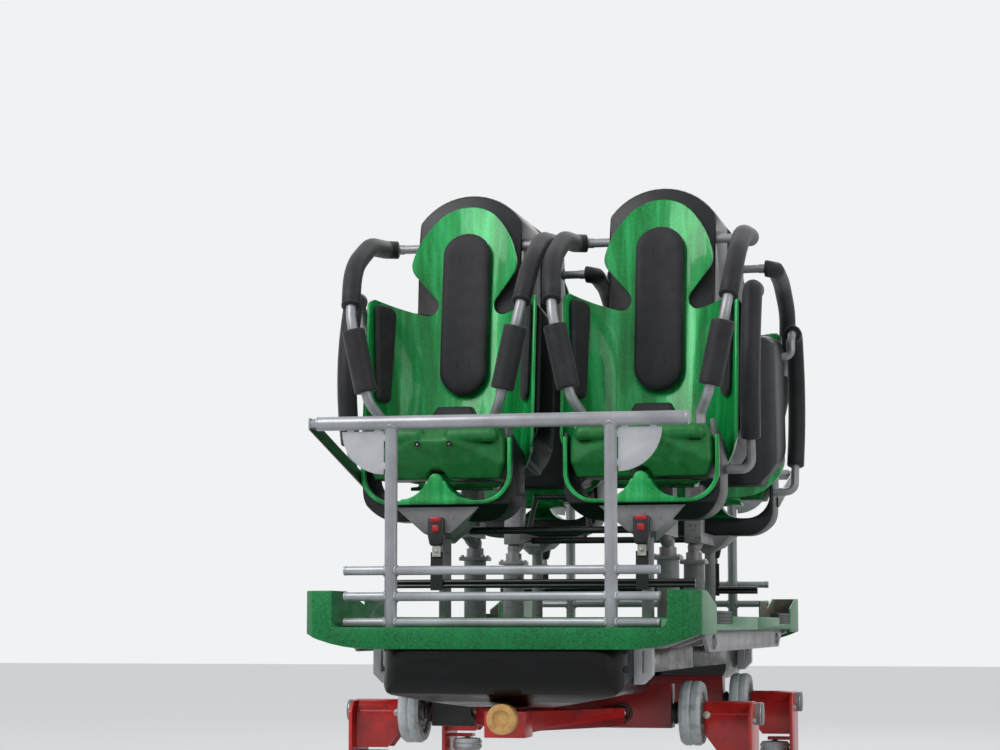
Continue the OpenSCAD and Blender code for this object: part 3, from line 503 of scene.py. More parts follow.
# Rounds the corners of a path, as the tube bender does, in steps of about 7 degrees
def bentPath(points, bends, stepAngle=7):
    made = [Vector(points[0])]
    for i in range(1, len(points) - 1):
        before, corner, after = (Vector(points[i + k]) for k in (-1, 0, 1))
        a, b = (corner - before).normalized(), (after - corner).normalized()
        half = a.angle(b) / 2
        r = bends[i]
        centre = corner + (b - a).normalized() * r / math.cos(half)
        x = (corner - a * r * math.tan(half) - centre) / r
        count = max(2, math.ceil(math.degrees(2 * half) / stepAngle))
        for k in range(count + 1):
            f = 2 * half * k / count
            made.append(centre + r * (x * math.cos(f) + a * math.sin(f)))
    made.append(Vector(points[-1]))
    return made


# The point of a path at a length along it
def alongPath(points, want):
    run = 0
    for p, q in zip(points, points[1:]):
        step = (q - p).length
        if want <= run + step or q is points[-1]:
            return p.lerp(q, min(1, (want - run) / max(1e-9, step)))
        run += step


def pathLength(points):
    return sum((q - p).length for p, q in zip(points, points[1:]))


# Length along a path to its nearest place to a target
def lengthTo(path, target):
    best, run = (1e9, 0), 0
    for p, q in zip(path, path[1:]):
        edge = q - p
        t = max(0, min(1, (target - p).dot(edge) / edge.length_squared))
        best = min(best, ((p + edge * t - target).length, run + edge.length * t))
        run += edge.length
    return best[1]


# Place and outward direction where a ray first meets a piece
def surfaceAt(piece, start, way):
    hit, at, outward = piece.ray_cast(Vector(start), Vector(way).normalized())[:3]
    return (at, outward) if hit else (Vector(start), -Vector(way).normalized())


# A copy of a piece in a seat's or an end's own frame, on which places of its surface are found
def probeOf(piece, matrix):
    probe = placed(piece, "probe", matrix.inverted())
    bpy.context.view_layer.update()
    return probe


# Stands a fitting modelled along +Z on a place, squashed across if asked
def standOn(piece, name, at, outward, squash, material, angle):
    piece.data.transform(Matrix.Diagonal((1, squash, 1, 1)))
    turn = Vector(outward).to_track_quat("Z", "Y").to_matrix().to_4x4()
    piece.data.transform(Matrix.Translation(at) @ turn)
    piece.name = name
    return finished(piece, material, angle)


def discAt(name, at, outward, radius, thick, material, squash=1.0):
    deselect()
    bpy.ops.mesh.primitive_cylinder_add(vertices=32, radius=radius, depth=thick, location=(0, 0, 0))
    disc = settle(bpy.context.object)
    roundEdges(disc, min(thick * 0.3, radius * 0.2), 2, 50)
    return standOn(disc, name, at, outward, squash, material, 40)


def ringAt(name, at, outward, radius, thick, material, squash=1.0):
    deselect()
    bpy.ops.mesh.primitive_torus_add(major_radius=radius, minor_radius=thick, major_segments=36, minor_segments=10)
    return standOn(settle(bpy.context.object), name, at, outward, squash, material, 60)


# Bolts: a washer and a bevelled hex head, modelled once along +Z, in shares of the head's half width
boltShape = {"headHigh": 0.9, "headAt": 0.6, "headEdge": 0.12,
             "washer": 1.45, "washerHigh": 0.22, "washerAt": 0.09, "washerEdge": 0.05}


def boltModel(size):
    b = boltShape
    deselect()
    bpy.ops.mesh.primitive_cylinder_add(vertices=6, radius=size, depth=size * b["headHigh"],
                                        location=(0, 0, size * b["headAt"]))
    head = settle(bpy.context.object)
    roundEdges(head, size * b["headEdge"], 2, 50)
    bpy.ops.mesh.primitive_cylinder_add(vertices=32, radius=size * b["washer"], depth=size * b["washerHigh"],
                                        location=(0, 0, size * b["washerAt"]))
    washer = settle(bpy.context.object)
    roundEdges(washer, size * b["washerEdge"], 1, 50)
    return finished(joinPieces([head, washer], "bolt"), zinc, 40)


def boltsAt(name, places, size):
    model = boltModel(size)
    made = []
    for at, axis in places:
        turn = Vector((0, 0, 1)).rotation_difference(Vector(axis)).to_matrix().to_4x4()
        made.append(placed(model, name, Matrix.Translation(at) @ turn))
    remove(model)
    return joinPieces(made, name)


# Back pads: crowned charcoal foam with a rolled edge, following the round bucket of the seat
bucket = {"radius": 0.2847, "axis": 0.645}
backPad = {"width": 0.165, "low": 0.764, "high": 1.332, "back": 0.9297,
           "lean": 7, "leanAt": (0.0, 0.930, 0.775), "wall": 0.018,
           "steps": [(0.002, 0.005), (0.004, 0.005), (0.008, 0.004), (0.014, 0.003), (0.02, 0.0015), (0.016, 0.0005)]}


def leanBack(piece):
    turn = Matrix.Rotation(math.radians(-backPad["lean"]), 4, "X")
    at = Matrix.Translation(backPad["leanAt"])
    piece.data.transform(at @ turn @ at.inverted())
    return piece


def makeBackPads():
    pad = outlinePiece("backPad", stadium(backPad["width"], backPad["low"], backPad["high"]), backPad["back"])
    crown(pad, backPad["wall"], backPad["steps"])
    addModifier(pad, "SUBSURF", levels=1, render_levels=1)
    for vertex in pad.data.vertices:
        vertex.co.y += math.sqrt(bucket["radius"] ** 2 - vertex.co.x ** 2) - bucket["radius"]
    leanBack(finished(pad, foam, 60))
    pads = toAllSeats(pad, "back_pad", "black_foam")
    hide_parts("back_pads")


makeBackPads()

# Wing bolsters on the inside of each wing, wide at the shoulder and narrow at the hip, wrapped on the bucket
bolster = {"front": 0.7245, "top": 1.048, "topRadius": 0.030, "topWidth": 0.096, "low": 0.714, "lowRadius": 0.026,
           "lowAt": (0.050, 0.062), "wall": 0.010,
           "steps": [(0.002, 0.004), (0.004, 0.003), (0.007, 0.0025), (0.012, 0.0012)]}


def makeBolsters():
    b = bolster
    r, low = b["topRadius"], b["lowRadius"]
    outline = cornerArc(b["front"] + b["topWidth"] - r, b["top"] - r, r, 0, 90)
    outline += cornerArc(b["front"] + r, b["top"] - r, r, 90, 180)
    outline += cornerArc(b["front"] + b["lowAt"][0], b["low"] + low, low, 186, 270)
    outline += cornerArc(b["front"] + b["lowAt"][1], b["low"] + low, low, 270, 358)
    pad = outlinePiece("wingBolster", outline, 0)
    crown(pad, b["wall"], b["steps"])
    addModifier(pad, "SUBSURF", levels=1, render_levels=1)
    # the outline's across becomes the depth in the seat and its rise leaves the bucket's wall
    for vertex in pad.data.vertices:
        depth, rise, up = vertex.co.x, -vertex.co.y, vertex.co.z
        turn = math.acos(max(-1, min(1, (depth - bucket["axis"]) / bucket["radius"])))
        away = bucket["radius"] - rise
        vertex.co = (away * math.sin(turn), bucket["axis"] + away * math.cos(turn), up)
    editAll(pad, (bpy.ops.mesh.normals_make_consistent, {"inside": False}))
    leanBack(finished(pad, foam, 60))
    pair = joinPieces([pad, mirrored(pad, "otherBolster")], "wingBolsterPair")
    pads = toAllSeats(pair, "wing_bolster_pair", "black_foam")
    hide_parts("wing_bolsters")


makeBolsters()

# Foam sleeves: a moulded shoulder piece with a ring at its low end, a fatter grip, and the bowed side guards.
# The start is in metres and the other ends are shares of a leg of the path. An end profile is pairs of the length in
# from the end and the change of radius there
armPath = [(0.240, 1.032, 1.290), (0.298, 1.032, 1.290), (0.297, 0.800, 1.268), (0.300, 0.600, 1.165),
           (0.279, 0.506, 0.990), (0.219, 0.508, 0.715)]
armBends = [0, 0.034, 0.25, 0.28, 0.15, 0]
sleeve = {"shoulder": 0.0312, "grip": 0.038, "start": 0.022, "shoulderEnd": 0.8,
          "gripStart": 0.155, "gripEnd": 0.895, "spans": 24,
          "plainEnd": [(0, -0.0055), (0.001, -0.0022), (0.003, -0.0005), (0.0055, 0)],
          "ringEnd": [(0, -0.008), (0.0015, -0.002), (0.004, 0.00066), (0.012, 0.00066), (0.013, -0.0022),
                      (0.016, -0.0022), (0.018, -0.0005)]}
guardPath = [(0.329, 0.700, 0.565), (0.335, 0.622, 0.805), (0.335, 0.742, 1.090), (0.335, 0.850, 1.060)]
guardFoam = {"radius": 0.0325, "bends": [0, 0.52, 0.05, 0], "clear": 0.026}


def sleevePiece(name, path, start, stop, radius, ending="plainEnd"):
    length = stop - start
    spans = sleeve["spans"]
    marks = [(distance, radius + change) for distance, change in sleeve["plainEnd"]]
    marks += [(length * k / spans, radius) for k in range(2, spans - 1)]
    marks += [(length - distance, radius + change) for distance, change in reversed(sleeve[ending])]
    return tube(name, [alongPath(path, start + distance) for distance, r in marks], [r for distance, r in marks], 24)


def makeArmFoam():
    corners = [Vector(p) for p in armPath]
    path = bentPath(armPath, armBends)
    shoulderEnd = lengthTo(path, corners[3].lerp(corners[4], sleeve["shoulderEnd"]))
    shoulder = sleevePiece("shoulderFoam", path, sleeve["start"], shoulderEnd, sleeve["shoulder"], "ringEnd")
    high, low = corners[4].lerp(corners[5], sleeve["gripStart"]), corners[4].lerp(corners[5], sleeve["gripEnd"])
    grip = sleevePiece("gripFoam", [high, low], 0, (low - high).length, sleeve["grip"])
    for piece in (shoulder, grip):
        finished(piece, foam, 50)
    both = [shoulder, grip, mirrored(shoulder, "otherShoulder"), mirrored(grip, "otherGrip")]
    toAllSeats(joinPieces(both, "armFoam"), "restraint_foam", "black_foam", seatBodies, "arm_foam_{}")


def makeGuardFoam():
    points = [Vector(p) for p in guardPath]
    low = points[0] + (points[1] - points[0]).normalized() * guardFoam["clear"]
    path = bentPath([low, points[1], points[2], points[2].lerp(points[3], 0.5)], guardFoam["bends"])
    piece = sleevePiece("guardFoam", path, 0, pathLength(path), guardFoam["radius"])
    pads = toAllSeats(finished(piece, foam, 50), "side_guard_foam", "black_foam")
    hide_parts("guard_foam")


makeArmFoam()
makeGuardFoam()
print("pads and foam made")

# Lap blocks: the moulded block softened, its rear pad and underside in black, bolts standing on dark discs that paint
# the shade of their recesses, and steel lugs
lapBlock = {"grain": 0.0045, "softening": 5, "rearPad": 0.735, "underside": -0.8,
            "boltX": 0.0525, "boltZ": 0.573, "hole": 0.0115,
            "holeThick": 0.0022, "holeEdge": 0.0019, "edgeOut": 0.0006, "boltIn": 0.0008, "bolt": 0.0045}
lug = {"box": (0.590, 0.690, 0.520, 0.648), "corner": 0.026, "thick": 0.010, "x": 0.2175, "inset": 0.005,
       "edge": 0.0015}
lapBlocks = []


def dressLapBlock(index, station):
    piece = refineNode(f"lap_block_{index}", lapGreen, "green_matte", 0, f"restraint_{index}")
    addModifier(piece, "REMESH", mode="VOXEL", voxel_size=lapBlock["grain"])
    addModifier(piece, "SMOOTH", factor=0.5, iterations=lapBlock["softening"])
    setMaterial(piece, lapGreen, hoodBlack)
    local = seatMatrix(station).inverted()
    paintFaces(piece, 1, lambda at, n: (local @ at).y > lapBlock["rearPad"] or n.z < lapBlock["underside"])
    smooth(piece, 60)
    lapBlocks.append(piece)


def makeLug(side):
    piece = outlinePiece("lug", roundedBox(*lug["box"], lug["corner"]), 0)
    crown(piece, lug["thick"])
    piece.data.transform(Matrix(((0, -1, 0, side * lug["x"] - lug["inset"]), (1, 0, 0, 0), (0, 0, 1, 0), (0, 0, 0, 1))))
    editAll(piece, (bpy.ops.mesh.normals_make_consistent, {"inside": False}))
    roundEdges(piece, lug["edge"], 2, 50)
    return finished(piece, steelGrey, 40)


def makeLapTrim():
    b = lapBlock
    probe = probeOf(lapBlocks[1], seatMatrix(stations[1]))
    pieces = []
    for x in (-b["boltX"], b["boltX"]):
        at, outward = surfaceAt(probe, (x, 0.2, b["boltZ"]), (0, 1, 0))
        # A flat dark disc on the surface: painted shade in place of the bolt's recess
        pieces.append(discAt("boltHole", at, outward, b["hole"], b["holeThick"], holeShade))
        pieces.append(ringAt("boltHoleEdge", at + outward * b["edgeOut"], outward, b["hole"], b["holeEdge"], lapGreen))
        pieces.append(boltsAt("lapBolt", [(at - outward * b["boltIn"], tuple(outward))], b["bolt"]))
    remove(probe)
    pieces += [makeLug(side) for side in (-1, 1)]
    toAllSeats(joinPieces(pieces, "lapTrim"), "lap_block_fittings", "steel_grey", seatBodies)


for index, station in enumerate(stations, 1):
    dressLapBlock(index, station)
makeLapTrim()
print("lap blocks made")

# Belts: webbing up from the foot bar, a steel tongue with its bolt, and the buckle with its red buttons.
# A button is its low and high edge, its half width and the depth of its base
belt = {"front": 0.5499, "low": 0.107, "high": 0.229, "width": 0.040, "thick": 0.0034, "wave": 0.0012, "waves": 40,
        "tongueThick": 0.003, "boltZ": 0.232, "bolt": 0.006, "shellBack": 0.5545, "shellThick": 0.0165,
        "frameBox": (-0.0135, 0.0135, 0.2895, 0.3175), "frameBack": 0.5372, "corner": 0.003,
        "tongue": [(-0.014, 0.214), (0.014, 0.214), (0.014, 0.244), (0.010, 0.256), (-0.010, 0.256), (-0.014, 0.244)],
        "shell": [(-0.016, 0.249), (0.016, 0.249), (0.021, 0.256), (0.0262, 0.280), (0.0262, 0.334), (0.0225, 0.339),
                  (-0.0225, 0.339), (-0.0262, 0.334), (-0.0262, 0.280), (-0.021, 0.256)],
        "buttons": [(0.3255, 0.3405, 0.0175, 0.5350), (0.293, 0.314, 0.0105, 0.5335)]}


def makeStrap():
    b = belt
    deselect()
    bpy.ops.mesh.primitive_cube_add(size=1, location=(0, b["front"] + 0.002, (b["low"] + b["high"]) / 2),
                                    scale=(b["width"], b["thick"], b["high"] - b["low"]))
    strap = editAll(settle(bpy.context.object), (bpy.ops.mesh.subdivide, {"number_cuts": 6}))
    for vertex in strap.data.vertices:
        vertex.co.y -= b["wave"] * math.sin((vertex.co.z - b["low"]) * b["waves"])
    roundEdges(strap, 0.0006, 1, 60)
    return setMaterial(strap, webbing)


def makeBelts():
    b = belt
    tongue = outlinePiece("tongue", b["tongue"], b["front"] - 0.0005)
    crown(tongue, b["tongueThick"])
    roundEdges(tongue, 0.0006, 2, 50)
    setMaterial(tongue, zinc)
    shell = outlinePiece("buckle", b["shell"], b["shellBack"])
    crown(shell, b["shellThick"], [(0.0015, 0.0022), (0.003, 0.0012)])
    roundEdges(shell, 0.0012, 2, 40)
    finished(shell, buckleBlack, 40)
    bolt = boltsAt("tongueBolt", [((0, b["front"] - 0.0032, b["boltZ"]), (0, -1, 0))], b["bolt"])
    pieces = [makeStrap(), tongue, bolt, shell]
    for low, high, half, front in b["buttons"]:
        button = outlinePiece("button", roundedBox(-half, half, low, high, b["corner"], 3), front)
        crown(button, 0.0018, [(0.0012, 0.0009)])
        pieces.append(finished(button, buttonRed, 40))
    frameEdge = outlinePiece("buttonFrame", roundedBox(*b["frameBox"], b["corner"], 3), b["frameBack"])
    pieces.append(setMaterial(crown(frameEdge, 0.0012), hoodBlack))
    made = toAllSeats(joinPieces(pieces, "seatBelt"), "seat_belt", "belt_black")
    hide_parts("belts")


makeBelts()
print("belts made")

# Wheels: each node's own shape, its tread, flanks and hub in their own finishes, with hub bolts. Flank and boltsAt
# are distances from the wheel's middle along its axis
wheelSets = {
    "run_wheel": {"radius": 0.1025, "x": 0.460, "z": 0.3765, "axis": (1, 0, 0),
                  "hub": 0.034, "flank": 0.0335, "boltsAt": 0.025},
    "guide_wheel": {"radius": 0.055, "x": 0.582, "z": 0.209, "axis": (0, 0, 1),
                    "hub": 0.022, "flank": 0.0205, "boltsAt": 0.012},
    "upstop_wheel": {"radius": 0.070, "x": 0.460, "z": 0.070, "axis": (1, 0, 0),
                     "hub": 0.026, "flank": 0.0235, "boltsAt": 0.015},
}
# The axles' distance from the car's middle, then shares of a wheel's radius
wheelTrim = {"axleY": 0.620, "hubShare": 0.68, "boltReach": 0.66, "boltSize": 0.05}


def dressWheel(kind, wheel, index, station):
    end, side = station
    name = f"{kind}_{index}"
    centre = Vector((side * wheel["x"], -end * wheelTrim["axleY"], wheel["z"]))
    axis = Vector(wheel["axis"])
    hubRadius = wheel["radius"] * wheelTrim["hubShare"]
    piece = refineNode(name, tyre, "tyre_white", 0.0012, name, 30)
    setMaterial(piece, tyre, tyreSide, hubGrey)

    def fromAxis(at):
        away = at - centre
        return (away - axis * away.dot(axis)).length

    paintFaces(piece, 1, lambda at, n: abs((at - centre).dot(axis)) > wheel["flank"] and fromAxis(at) > hubRadius)
    paintFaces(piece, 2, lambda at, n: fromAxis(at) < hubRadius)
    ring = []
    reach = (wheel["hub"] + wheel["radius"] * wheelTrim["boltReach"]) / 2
    for turn in range(6):
        spoke = Matrix.Rotation(math.radians(60 * turn + 30), 3, axis) @ Vector((0, 1, 0))
        ring += [(centre + spoke * reach + axis * way * wheel["boltsAt"], tuple(axis * way)) for way in (-1, 1)]
    rideAs(boltsAt(name + "_bolts", ring, wheel["radius"] * wheelTrim["boltSize"]), name, "steel_grey")


for kind, wheel in wheelSets.items():
    for index, station in enumerate(stations, 1):
        dressWheel(kind, wheel, index, station)
print("wheels made")

# Step frames: pale quarter plates, a weld bead at every crossing and rounded end caps
stepFrame = {"upright": 0.019, "bar": 0.021, "rung": 0.0135, "rungEnd": 0.472, "barEnd": 0.560, "barHeight": 0.600,
             "rungHeights": (0.158, 0.081, 0.004), "bead": 0.0042, "ripple": 0.25, "capOut": 0.0006,
             "capShift": 0.001, "capLength": 0.010}


def weldBead(spots):
    radii = [stepFrame["bead"] * (1 + stepFrame["ripple"] * math.sin(5 * i)) for i in range(len(spots))]
    return setMaterial(tube("weldBead", spots, radii, 8), silver)


def dressStepFrames():
    s = stepFrame
    around = [(math.cos(math.radians(15 * i)), math.sin(math.radians(15 * i))) for i in range(25)]
    pieces = []
    for x in (-car["seatX"], car["seatX"]):
        for height in s["rungHeights"]:
            for way in (-1, 1):
                pieces.append(weldBead([(x + way * math.sqrt(s["upright"] ** 2 - (s["rung"] * c) ** 2), s["rung"] * c,
                                         height + s["rung"] * h) for c, h in around]))
        pieces.append(weldBead([(x + s["upright"] * c, s["upright"] * h,
                                 s["barHeight"] - math.sqrt(s["bar"] ** 2 - (s["upright"] * h) ** 2))
                                for c, h in around]))
    ends = [(s["rungEnd"], height, s["rung"]) for height in s["rungHeights"]]
    ends.append((s["barEnd"], s["barHeight"], s["bar"]))
    for side in (-1, 1):
        for reach, height, radius in ends:
            pieces.append(discAt("endCap", (side * (reach + s["capShift"]), 0, height), (side, 0, 0),
                                 radius + s["capOut"], s["capLength"], silver))
    for piece in pieces:
        smooth(piece, 60)
    toBothEnds(joinPieces(pieces, "stepFrameWelds"), "step_frame_welds", "silver_paint")


dressStepFrames()


def finishedNode(name):
    return bpy.data.objects[name + "_finished"]


# Gives each face of a finished piece the material that its place in its own end calls for
def paintByPlace(name, materials, test):
    piece = setMaterial(finishedNode(name), *materials)
    for face in piece.data.polygons:
        end = 1 if face.center.y < 0 else -1
        face.material_index = int(test(endMatrix(end).inverted() @ face.center, face.normal))


# Running gear: axle height, and the carrier's places across the car
gear = {"axleY": 0.770, "axleH": -0.2835, "beamX": 0.395, "spineX": 0.646, "guideX": 0.582,
        "upstopX": 0.460, "upstopH": -0.590, "eyeX": 0.238}
ear = {"in": 0.5095, "out": 0.5915, "front": 0.0595, "back": 0.331, "high": 0.094}
slottedBlock = {"front": 0.148, "back": 0.197, "in": 0.3715, "high": -0.066}
stayCollar = {"reach": 0.027, "in": 0.552, "under": -0.75}
quarter = {"thick": 0.0035, "clear": 0.0185, "low": 0.42, "high": 0.5795}


def quarterPlate(at, n):
    q = quarter
    return abs(at.y) < q["thick"] and abs(at.x) > car["seatX"] + q["clear"] and q["low"] < at.z < q["high"]


def earPocket(at, n):
    return ear["in"] < abs(at.x) < ear["out"] and ear["front"] < at.y < ear["back"] and -0.0005 < at.z < ear["high"]


def onCollar(at, n):
    near = math.hypot(at.y, at.z - stepFrame["barHeight"]) < stayCollar["reach"]
    return near and abs(at.x) > stayCollar["in"] and n.z > stayCollar["under"]


def onSlottedBlock(at, n):
    s = slottedBlock
    return s["front"] < at.y < s["back"] and abs(at.x) > s["in"] and at.z < s["high"]


# Radii and reaches of the places on a bogie that have their own finish
bogieZones = {"capFrom": 0.0135, "cap": 0.037, "axleFrom": 0.0005, "axleTo": 0.4215, "axle": 0.0285,
              "pinFace": -0.0353, "pin": 0.0125, "ringBack": -0.0325, "ringFace": -0.050, "ring": 0.032,
              "guidePin": 0.0102, "guideDown": 0.1, "upstopIn": 0.42, "upstopOut": 0.500, "upstopPin": 0.0215,
              "beamPast": 0.001, "beamHalf": 0.0702, "beamDown": 0.049}


# Red enamel 0, the beam in a darker red that paints its shade 1, bare pins 2, the dark rings of the beam's eyes 3, and
# the axle's steel 4
def bogieFinish(at, n):
    g, b = gear, bogieZones
    x, fromAxleY = abs(at.x), at.y - g["axleY"]
    fromAxle = math.hypot(fromAxleY, at.z - g["axleH"])
    fromEye = math.hypot(x - g["eyeX"], at.z - g["axleH"])
    if x > g["spineX"] + b["capFrom"] and fromAxle < b["cap"]:
        return 4
    if g["beamX"] + b["axleFrom"] < x < b["axleTo"] and fromAxle < b["axle"]:
        return 4
    if fromAxleY < b["pinFace"] and fromEye < b["pin"]:
        return 2
    if b["ringFace"] < fromAxleY < b["ringBack"] and fromEye < b["ring"]:
        return 3
    if math.hypot(x - g["guideX"], fromAxleY) < b["guidePin"] and at.z < g["axleH"] - b["guideDown"]:
        return 2
    if b["upstopIn"] < x < b["upstopOut"] and math.hypot(fromAxleY, at.z - g["upstopH"]) < b["upstopPin"]:
        return 2
    # The beam takes the darker red of painted shade
    return x < g["beamX"] + b["beamPast"] and abs(fromAxleY) < b["beamHalf"] and at.z > g["axleH"] - b["beamDown"]


paintByPlace("step_frames", (silver, paleGrey), quarterPlate)
paintByPlace("bar_stays", (barBlack, silver), onCollar)
paintByPlace("chassis_frame", (steelGrey, paleGrey), onSlottedBlock)
for end in ("front", "rear"):
    paintByPlace("deck_" + end, (deckGreen, laminate), earPocket)
    paintByPlace("bogie_" + end, (redEnamel, shadedRed, zinc, rubber, hubGrey), bogieFinish)

# The foot bars lie closer together than their solids
footBars = {"middle": 0.788, "share": 0.66}
for vertex in finishedNode("foot_bars").data.vertices:
    vertex.co.z = footBars["middle"] + (vertex.co.z - footBars["middle"]) * footBars["share"]

# The moulded fillet where each ear rises from the lip
earFillet = {"radius": 0.026, "low": -0.0105, "wall": 0.5035, "back": 0.058, "shy": 0.004,
             "probe": (0.490, -0.4, -0.03)}


def makeEarFillets():
    f = earFillet
    probe = probeOf(finishedNode("deck_front"), endMatrix(1))
    at = surfaceAt(probe, f["probe"], (0, 1, 0))[0]
    remove(probe)
    r = f["radius"]
    outline = [(f["wall"], f["low"])] + cornerArc(f["wall"] - r, f["low"] + r, r, 0, -90, 8)
    fillet = outlinePiece("earFillet", outline, f["back"])
    crown(fillet, f["back"] - at.y - f["shy"])
    finished(fillet, deckGreen, 30)
    toBothEnds(joinPieces([fillet, mirrored(fillet, "otherFillet")], "earFillets"), "ear_fillets", "green_grp")


makeEarFillets()

# Fittings of the running gear: seals, weld beads, caps' rims, bolts and the buffers' plugs
gearTrim = {"sealX": 0.4045, "seal": (0.030, 0.0062), "capX": 0.6775, "capRim": (0.0345, 0.0024),
            "weldFrom": 0.502, "weldStep": 0.006, "weldOut": 0.0425, "weldDown": 0.0005, "weldWave": 0.0008,
            "weld": 0.0042, "boltX": 0.509, "boltOut": 0.046, "boltDown": 0.004, "bolt": 0.008,
            "spineBoltOut": 0.012, "spineBoltY": (-0.06, 0.06), "spineBoltDown": (0.02, 0.19),
            "nutIn": 0.037, "nut": 0.012, "plugY": 0.034, "plugRimY": 0.031,
            "plugZ": -0.279, "plug": (0.0225, 0.008), "plugRim": (0.0215, 0.0018)}


def makeGearTrim():
    g, t = gear, gearTrim
    pieces = []
    for side in (-1, 1):
        pieces.append(ringAt("hubSeal", (side * t["sealX"], g["axleY"], g["axleH"]), (side, 0, 0), *t["seal"], rubber))
        bead = [(side * x, g["axleY"] - t["weldOut"], g["axleH"] - t["weldDown"] + t["weldWave"] * math.sin(300 * x))
                for x in [t["weldFrom"] + t["weldStep"] * i for i in range(25)]]
        pieces.append(setMaterial(tube("carrierWeld", bead, [t["weld"]] * len(bead), 8), redEnamel))
        pieces.append(ringAt("capEdge", (side * t["capX"], g["axleY"], g["axleH"]), (side, 0, 0), *t["capRim"], zinc))
        bolts = [((side * t["boltX"], g["axleY"] - t["boltOut"], g["axleH"] - t["boltDown"]), (0, -1, 0))]
        bolts += [((side * (g["spineX"] + t["spineBoltOut"]), g["axleY"] + y, g["axleH"] - down), (side, 0, 0))
                  for y in t["spineBoltY"] for down in t["spineBoltDown"]]
        pieces.append(boltsAt("carrierBolts", bolts, t["bolt"]))
        nut = (side * (g["upstopX"] - t["nutIn"]), g["axleY"], g["upstopH"])
        pieces.append(boltsAt("upstopNut", [(nut, (-side, 0, 0))], t["nut"]))
    pieces.append(discAt("bufferPlug", (0, t["plugY"], t["plugZ"]), (0, -1, 0), *t["plug"], zinc))
    pieces.append(ringAt("bufferPlugEdge", (0, t["plugRimY"], t["plugZ"]), (0, -1, 0), *t["plugRim"], zinc))
    toBothEnds(joinPieces(pieces, "gearTrim"), "running_gear_fittings", "steel_grey")


makeGearTrim()

# Body fittings: oval holes in the belly's corners and the ringed bolt eyes of the side plates, each hole a flat dark
# disc of painted shade
bodyTrim = {"holeFrom": (0.60, -0.30, -0.133), "holeWay": (-0.6, 0.9, 0),
            "hole": (0.015, 0.002), "holeRim": (0.0155, 0.0016), "holeSquash": 0.62, "rimSquash": 0.64,
            "eye": (0.5685, 0.510, -0.056), "eyeRing": (0.0135, 0.003), "eyeHole": (0.0108, 0.0016), "eyeIn": 0.001}


def makeBodyTrim():
    t = bodyTrim
    probe = probeOf(finishedNode("belly_front"), endMatrix(1))
    pieces = []
    for side in (-1, 1):
        (x, y, z), (wayX, wayY, wayZ) = t["holeFrom"], t["holeWay"]
        at, outward = surfaceAt(probe, (side * x, y, z), (side * wayX, wayY, wayZ))
        # Dark discs: painted shade standing in for the hole's depth
        pieces.append(discAt("bellyHole", at, outward, *t["hole"], holeShade, t["holeSquash"]))
        pieces.append(ringAt("bellyHoleEdge", at, outward, *t["holeRim"], glossBlack, t["rimSquash"]))
        x, y, z = t["eye"]
        pieces.append(ringAt("eyeRing", (side * x, y, z), (side, 0, 0), *t["eyeRing"], steelGrey))
        pieces.append(discAt("eyeHole", (side * (x - t["eyeIn"]), y, z), (side, 0, 0), *t["eyeHole"], holeShade))
    remove(probe)
    toBothEnds(joinPieces(pieces, "bodyTrim"), "body_fittings", "steel_grey")


makeBodyTrim()

# Rings round each main post's slanted pipe, and the bolts of its flange
postTrim = {"pipeLow": (0, 1.085, 0.275), "pipeHigh": (0, 0.935, 0.310),
            "rings": (0.030, 0.042, 0.054), "ring": (0.0222, 0.0024),
            "flangeY": 1.085, "flangeZ": 0.227, "boltsOut": 0.036, "bolt": 0.0065}


def makePostTrim():
    t = postTrim
    low = Vector(t["pipeLow"])
    way = (Vector(t["pipeHigh"]) - low).normalized()
    pieces = [ringAt("pipeRing", low + way * along, way, *t["ring"], steelGrey) for along in t["rings"]]
    out = (-t["boltsOut"], t["boltsOut"])
    bolts = [((x, t["flangeY"] + y, t["flangeZ"]), (0, 0, 1)) for x in out for y in out]
    pieces.append(boltsAt("flangeBolts", bolts, t["bolt"]))
    toAllSeats(joinPieces(pieces, "postRings"), "post_fittings", "steel_grey")


makePostTrim()
print("welds, caps and fittings made")

# Floor, backdrop, lights and world. Each lamp has its place, what it aims at, its size and its power in watts
stageSet = {"floorTone": "#dfe1e3", "floorGlow": 0.5, "floorSize": 60, "sky": "#f1f2f3",
            "worldTone": "#eef2f6", "worldStrength": 0.45,
            "keyLamp": ((-3.2, -4.5, 5.2), (0, -0.6, 1.2), 3.5, 240),
            "fillLamp": ((4.8, -3.0, 3.2), (0, -0.4, 1.1), 3.0, 60),
            "rearLamp": ((0.5, 5.5, 4.6), (0, 0.4, 1.2), 3.5, 60)}
bpy.context.scene.view_settings.view_transform = "Standard"


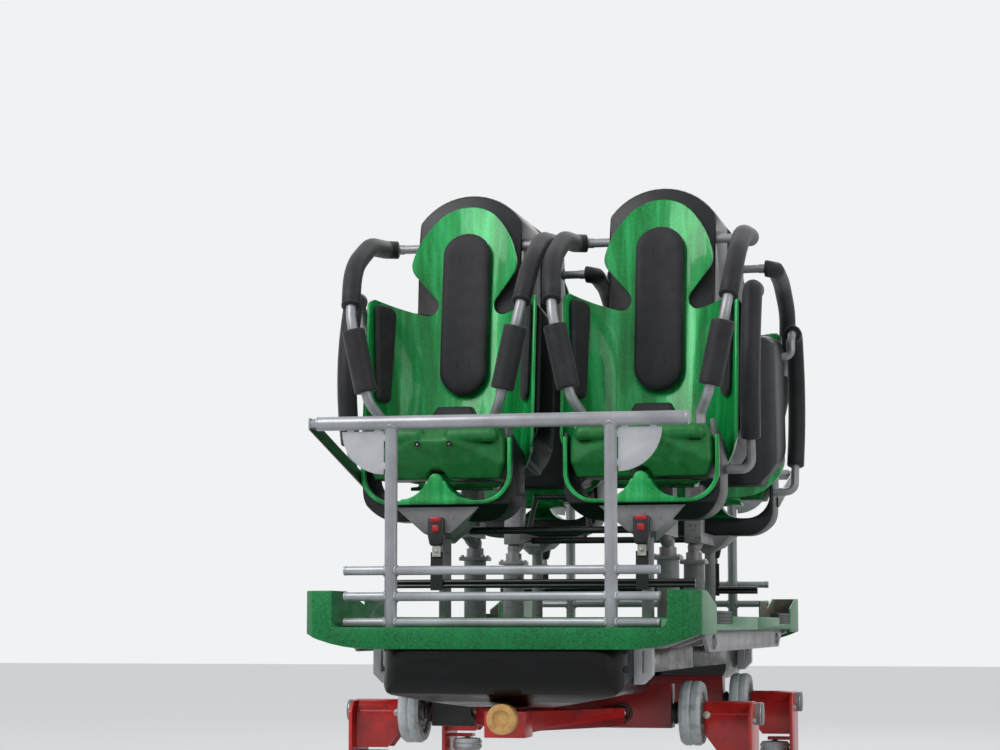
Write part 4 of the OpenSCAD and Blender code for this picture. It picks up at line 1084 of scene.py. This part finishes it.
# One where the camera, a reflection or clear material sees the surface, and none where it only lights others
def seenDirectly(tree):
    rays = addNode(tree, "ShaderNodeLightPath", {}).node.outputs
    seen = addNode(tree, "ShaderNodeMath", {0: rays["Is Camera Ray"], 1: rays["Is Glossy Ray"]}, operation="MAXIMUM")
    return addNode(tree, "ShaderNodeMath", {0: seen, 1: rays["Is Transmission Ray"]}, operation="MAXIMUM")


def makeFloor():
    material, tree, place = newMaterial("paleFloor")
    lit = addNode(tree, "ShaderNodeBsdfPrincipled", {"Base Color": stageSet["floorTone"], "Roughness": 0.8})
    glow = addNode(tree, "ShaderNodeEmission", {"Color": stageSet["sky"], "Strength": 1.0})
    share = addNode(tree, "ShaderNodeMath", {0: seenDirectly(tree), 1: stageSet["floorGlow"]}, operation="MULTIPLY")
    both = addNode(tree, "ShaderNodeMixShader", {0: share, 1: lit, 2: glow})
    addNode(tree, "ShaderNodeOutputMaterial", {"Surface": both})
    deselect()
    bpy.ops.mesh.primitive_plane_add(size=stageSet["floorSize"], location=(0, 0, -0.001))
    floor = setMaterial(bpy.context.object, material)
    floor.name = "studioFloor"


def makeWorld():
    world = bpy.data.worlds.new("paleStudio")
    bpy.context.scene.world = world
    world.use_nodes = True
    tree = world.node_tree
    tree.nodes.clear()
    light = addNode(tree, "ShaderNodeBackground",
                    {"Color": stageSet["worldTone"], "Strength": stageSet["worldStrength"]})
    shown = addNode(tree, "ShaderNodeBackground", {"Color": stageSet["sky"], "Strength": 1.0})
    both = addNode(tree, "ShaderNodeMixShader", {0: seenDirectly(tree), 1: light, 2: shown})
    addNode(tree, "ShaderNodeOutputWorld", {"Surface": both})


def addLamp(name):
    at, aim, size, power = stageSet[name]
    deselect()
    bpy.ops.object.light_add(type="AREA", location=at)
    lamp = bpy.context.object
    lamp.name = name
    lamp.data.size = size
    lamp.data.energy = power
    lamp.rotation_euler = (Vector(aim) - Vector(at)).to_track_quat("-Z", "Y").to_euler()


makeFloor()
makeWorld()
for name in ("keyLamp", "fillLamp", "rearLamp"):
    addLamp(name)
print("stage set")
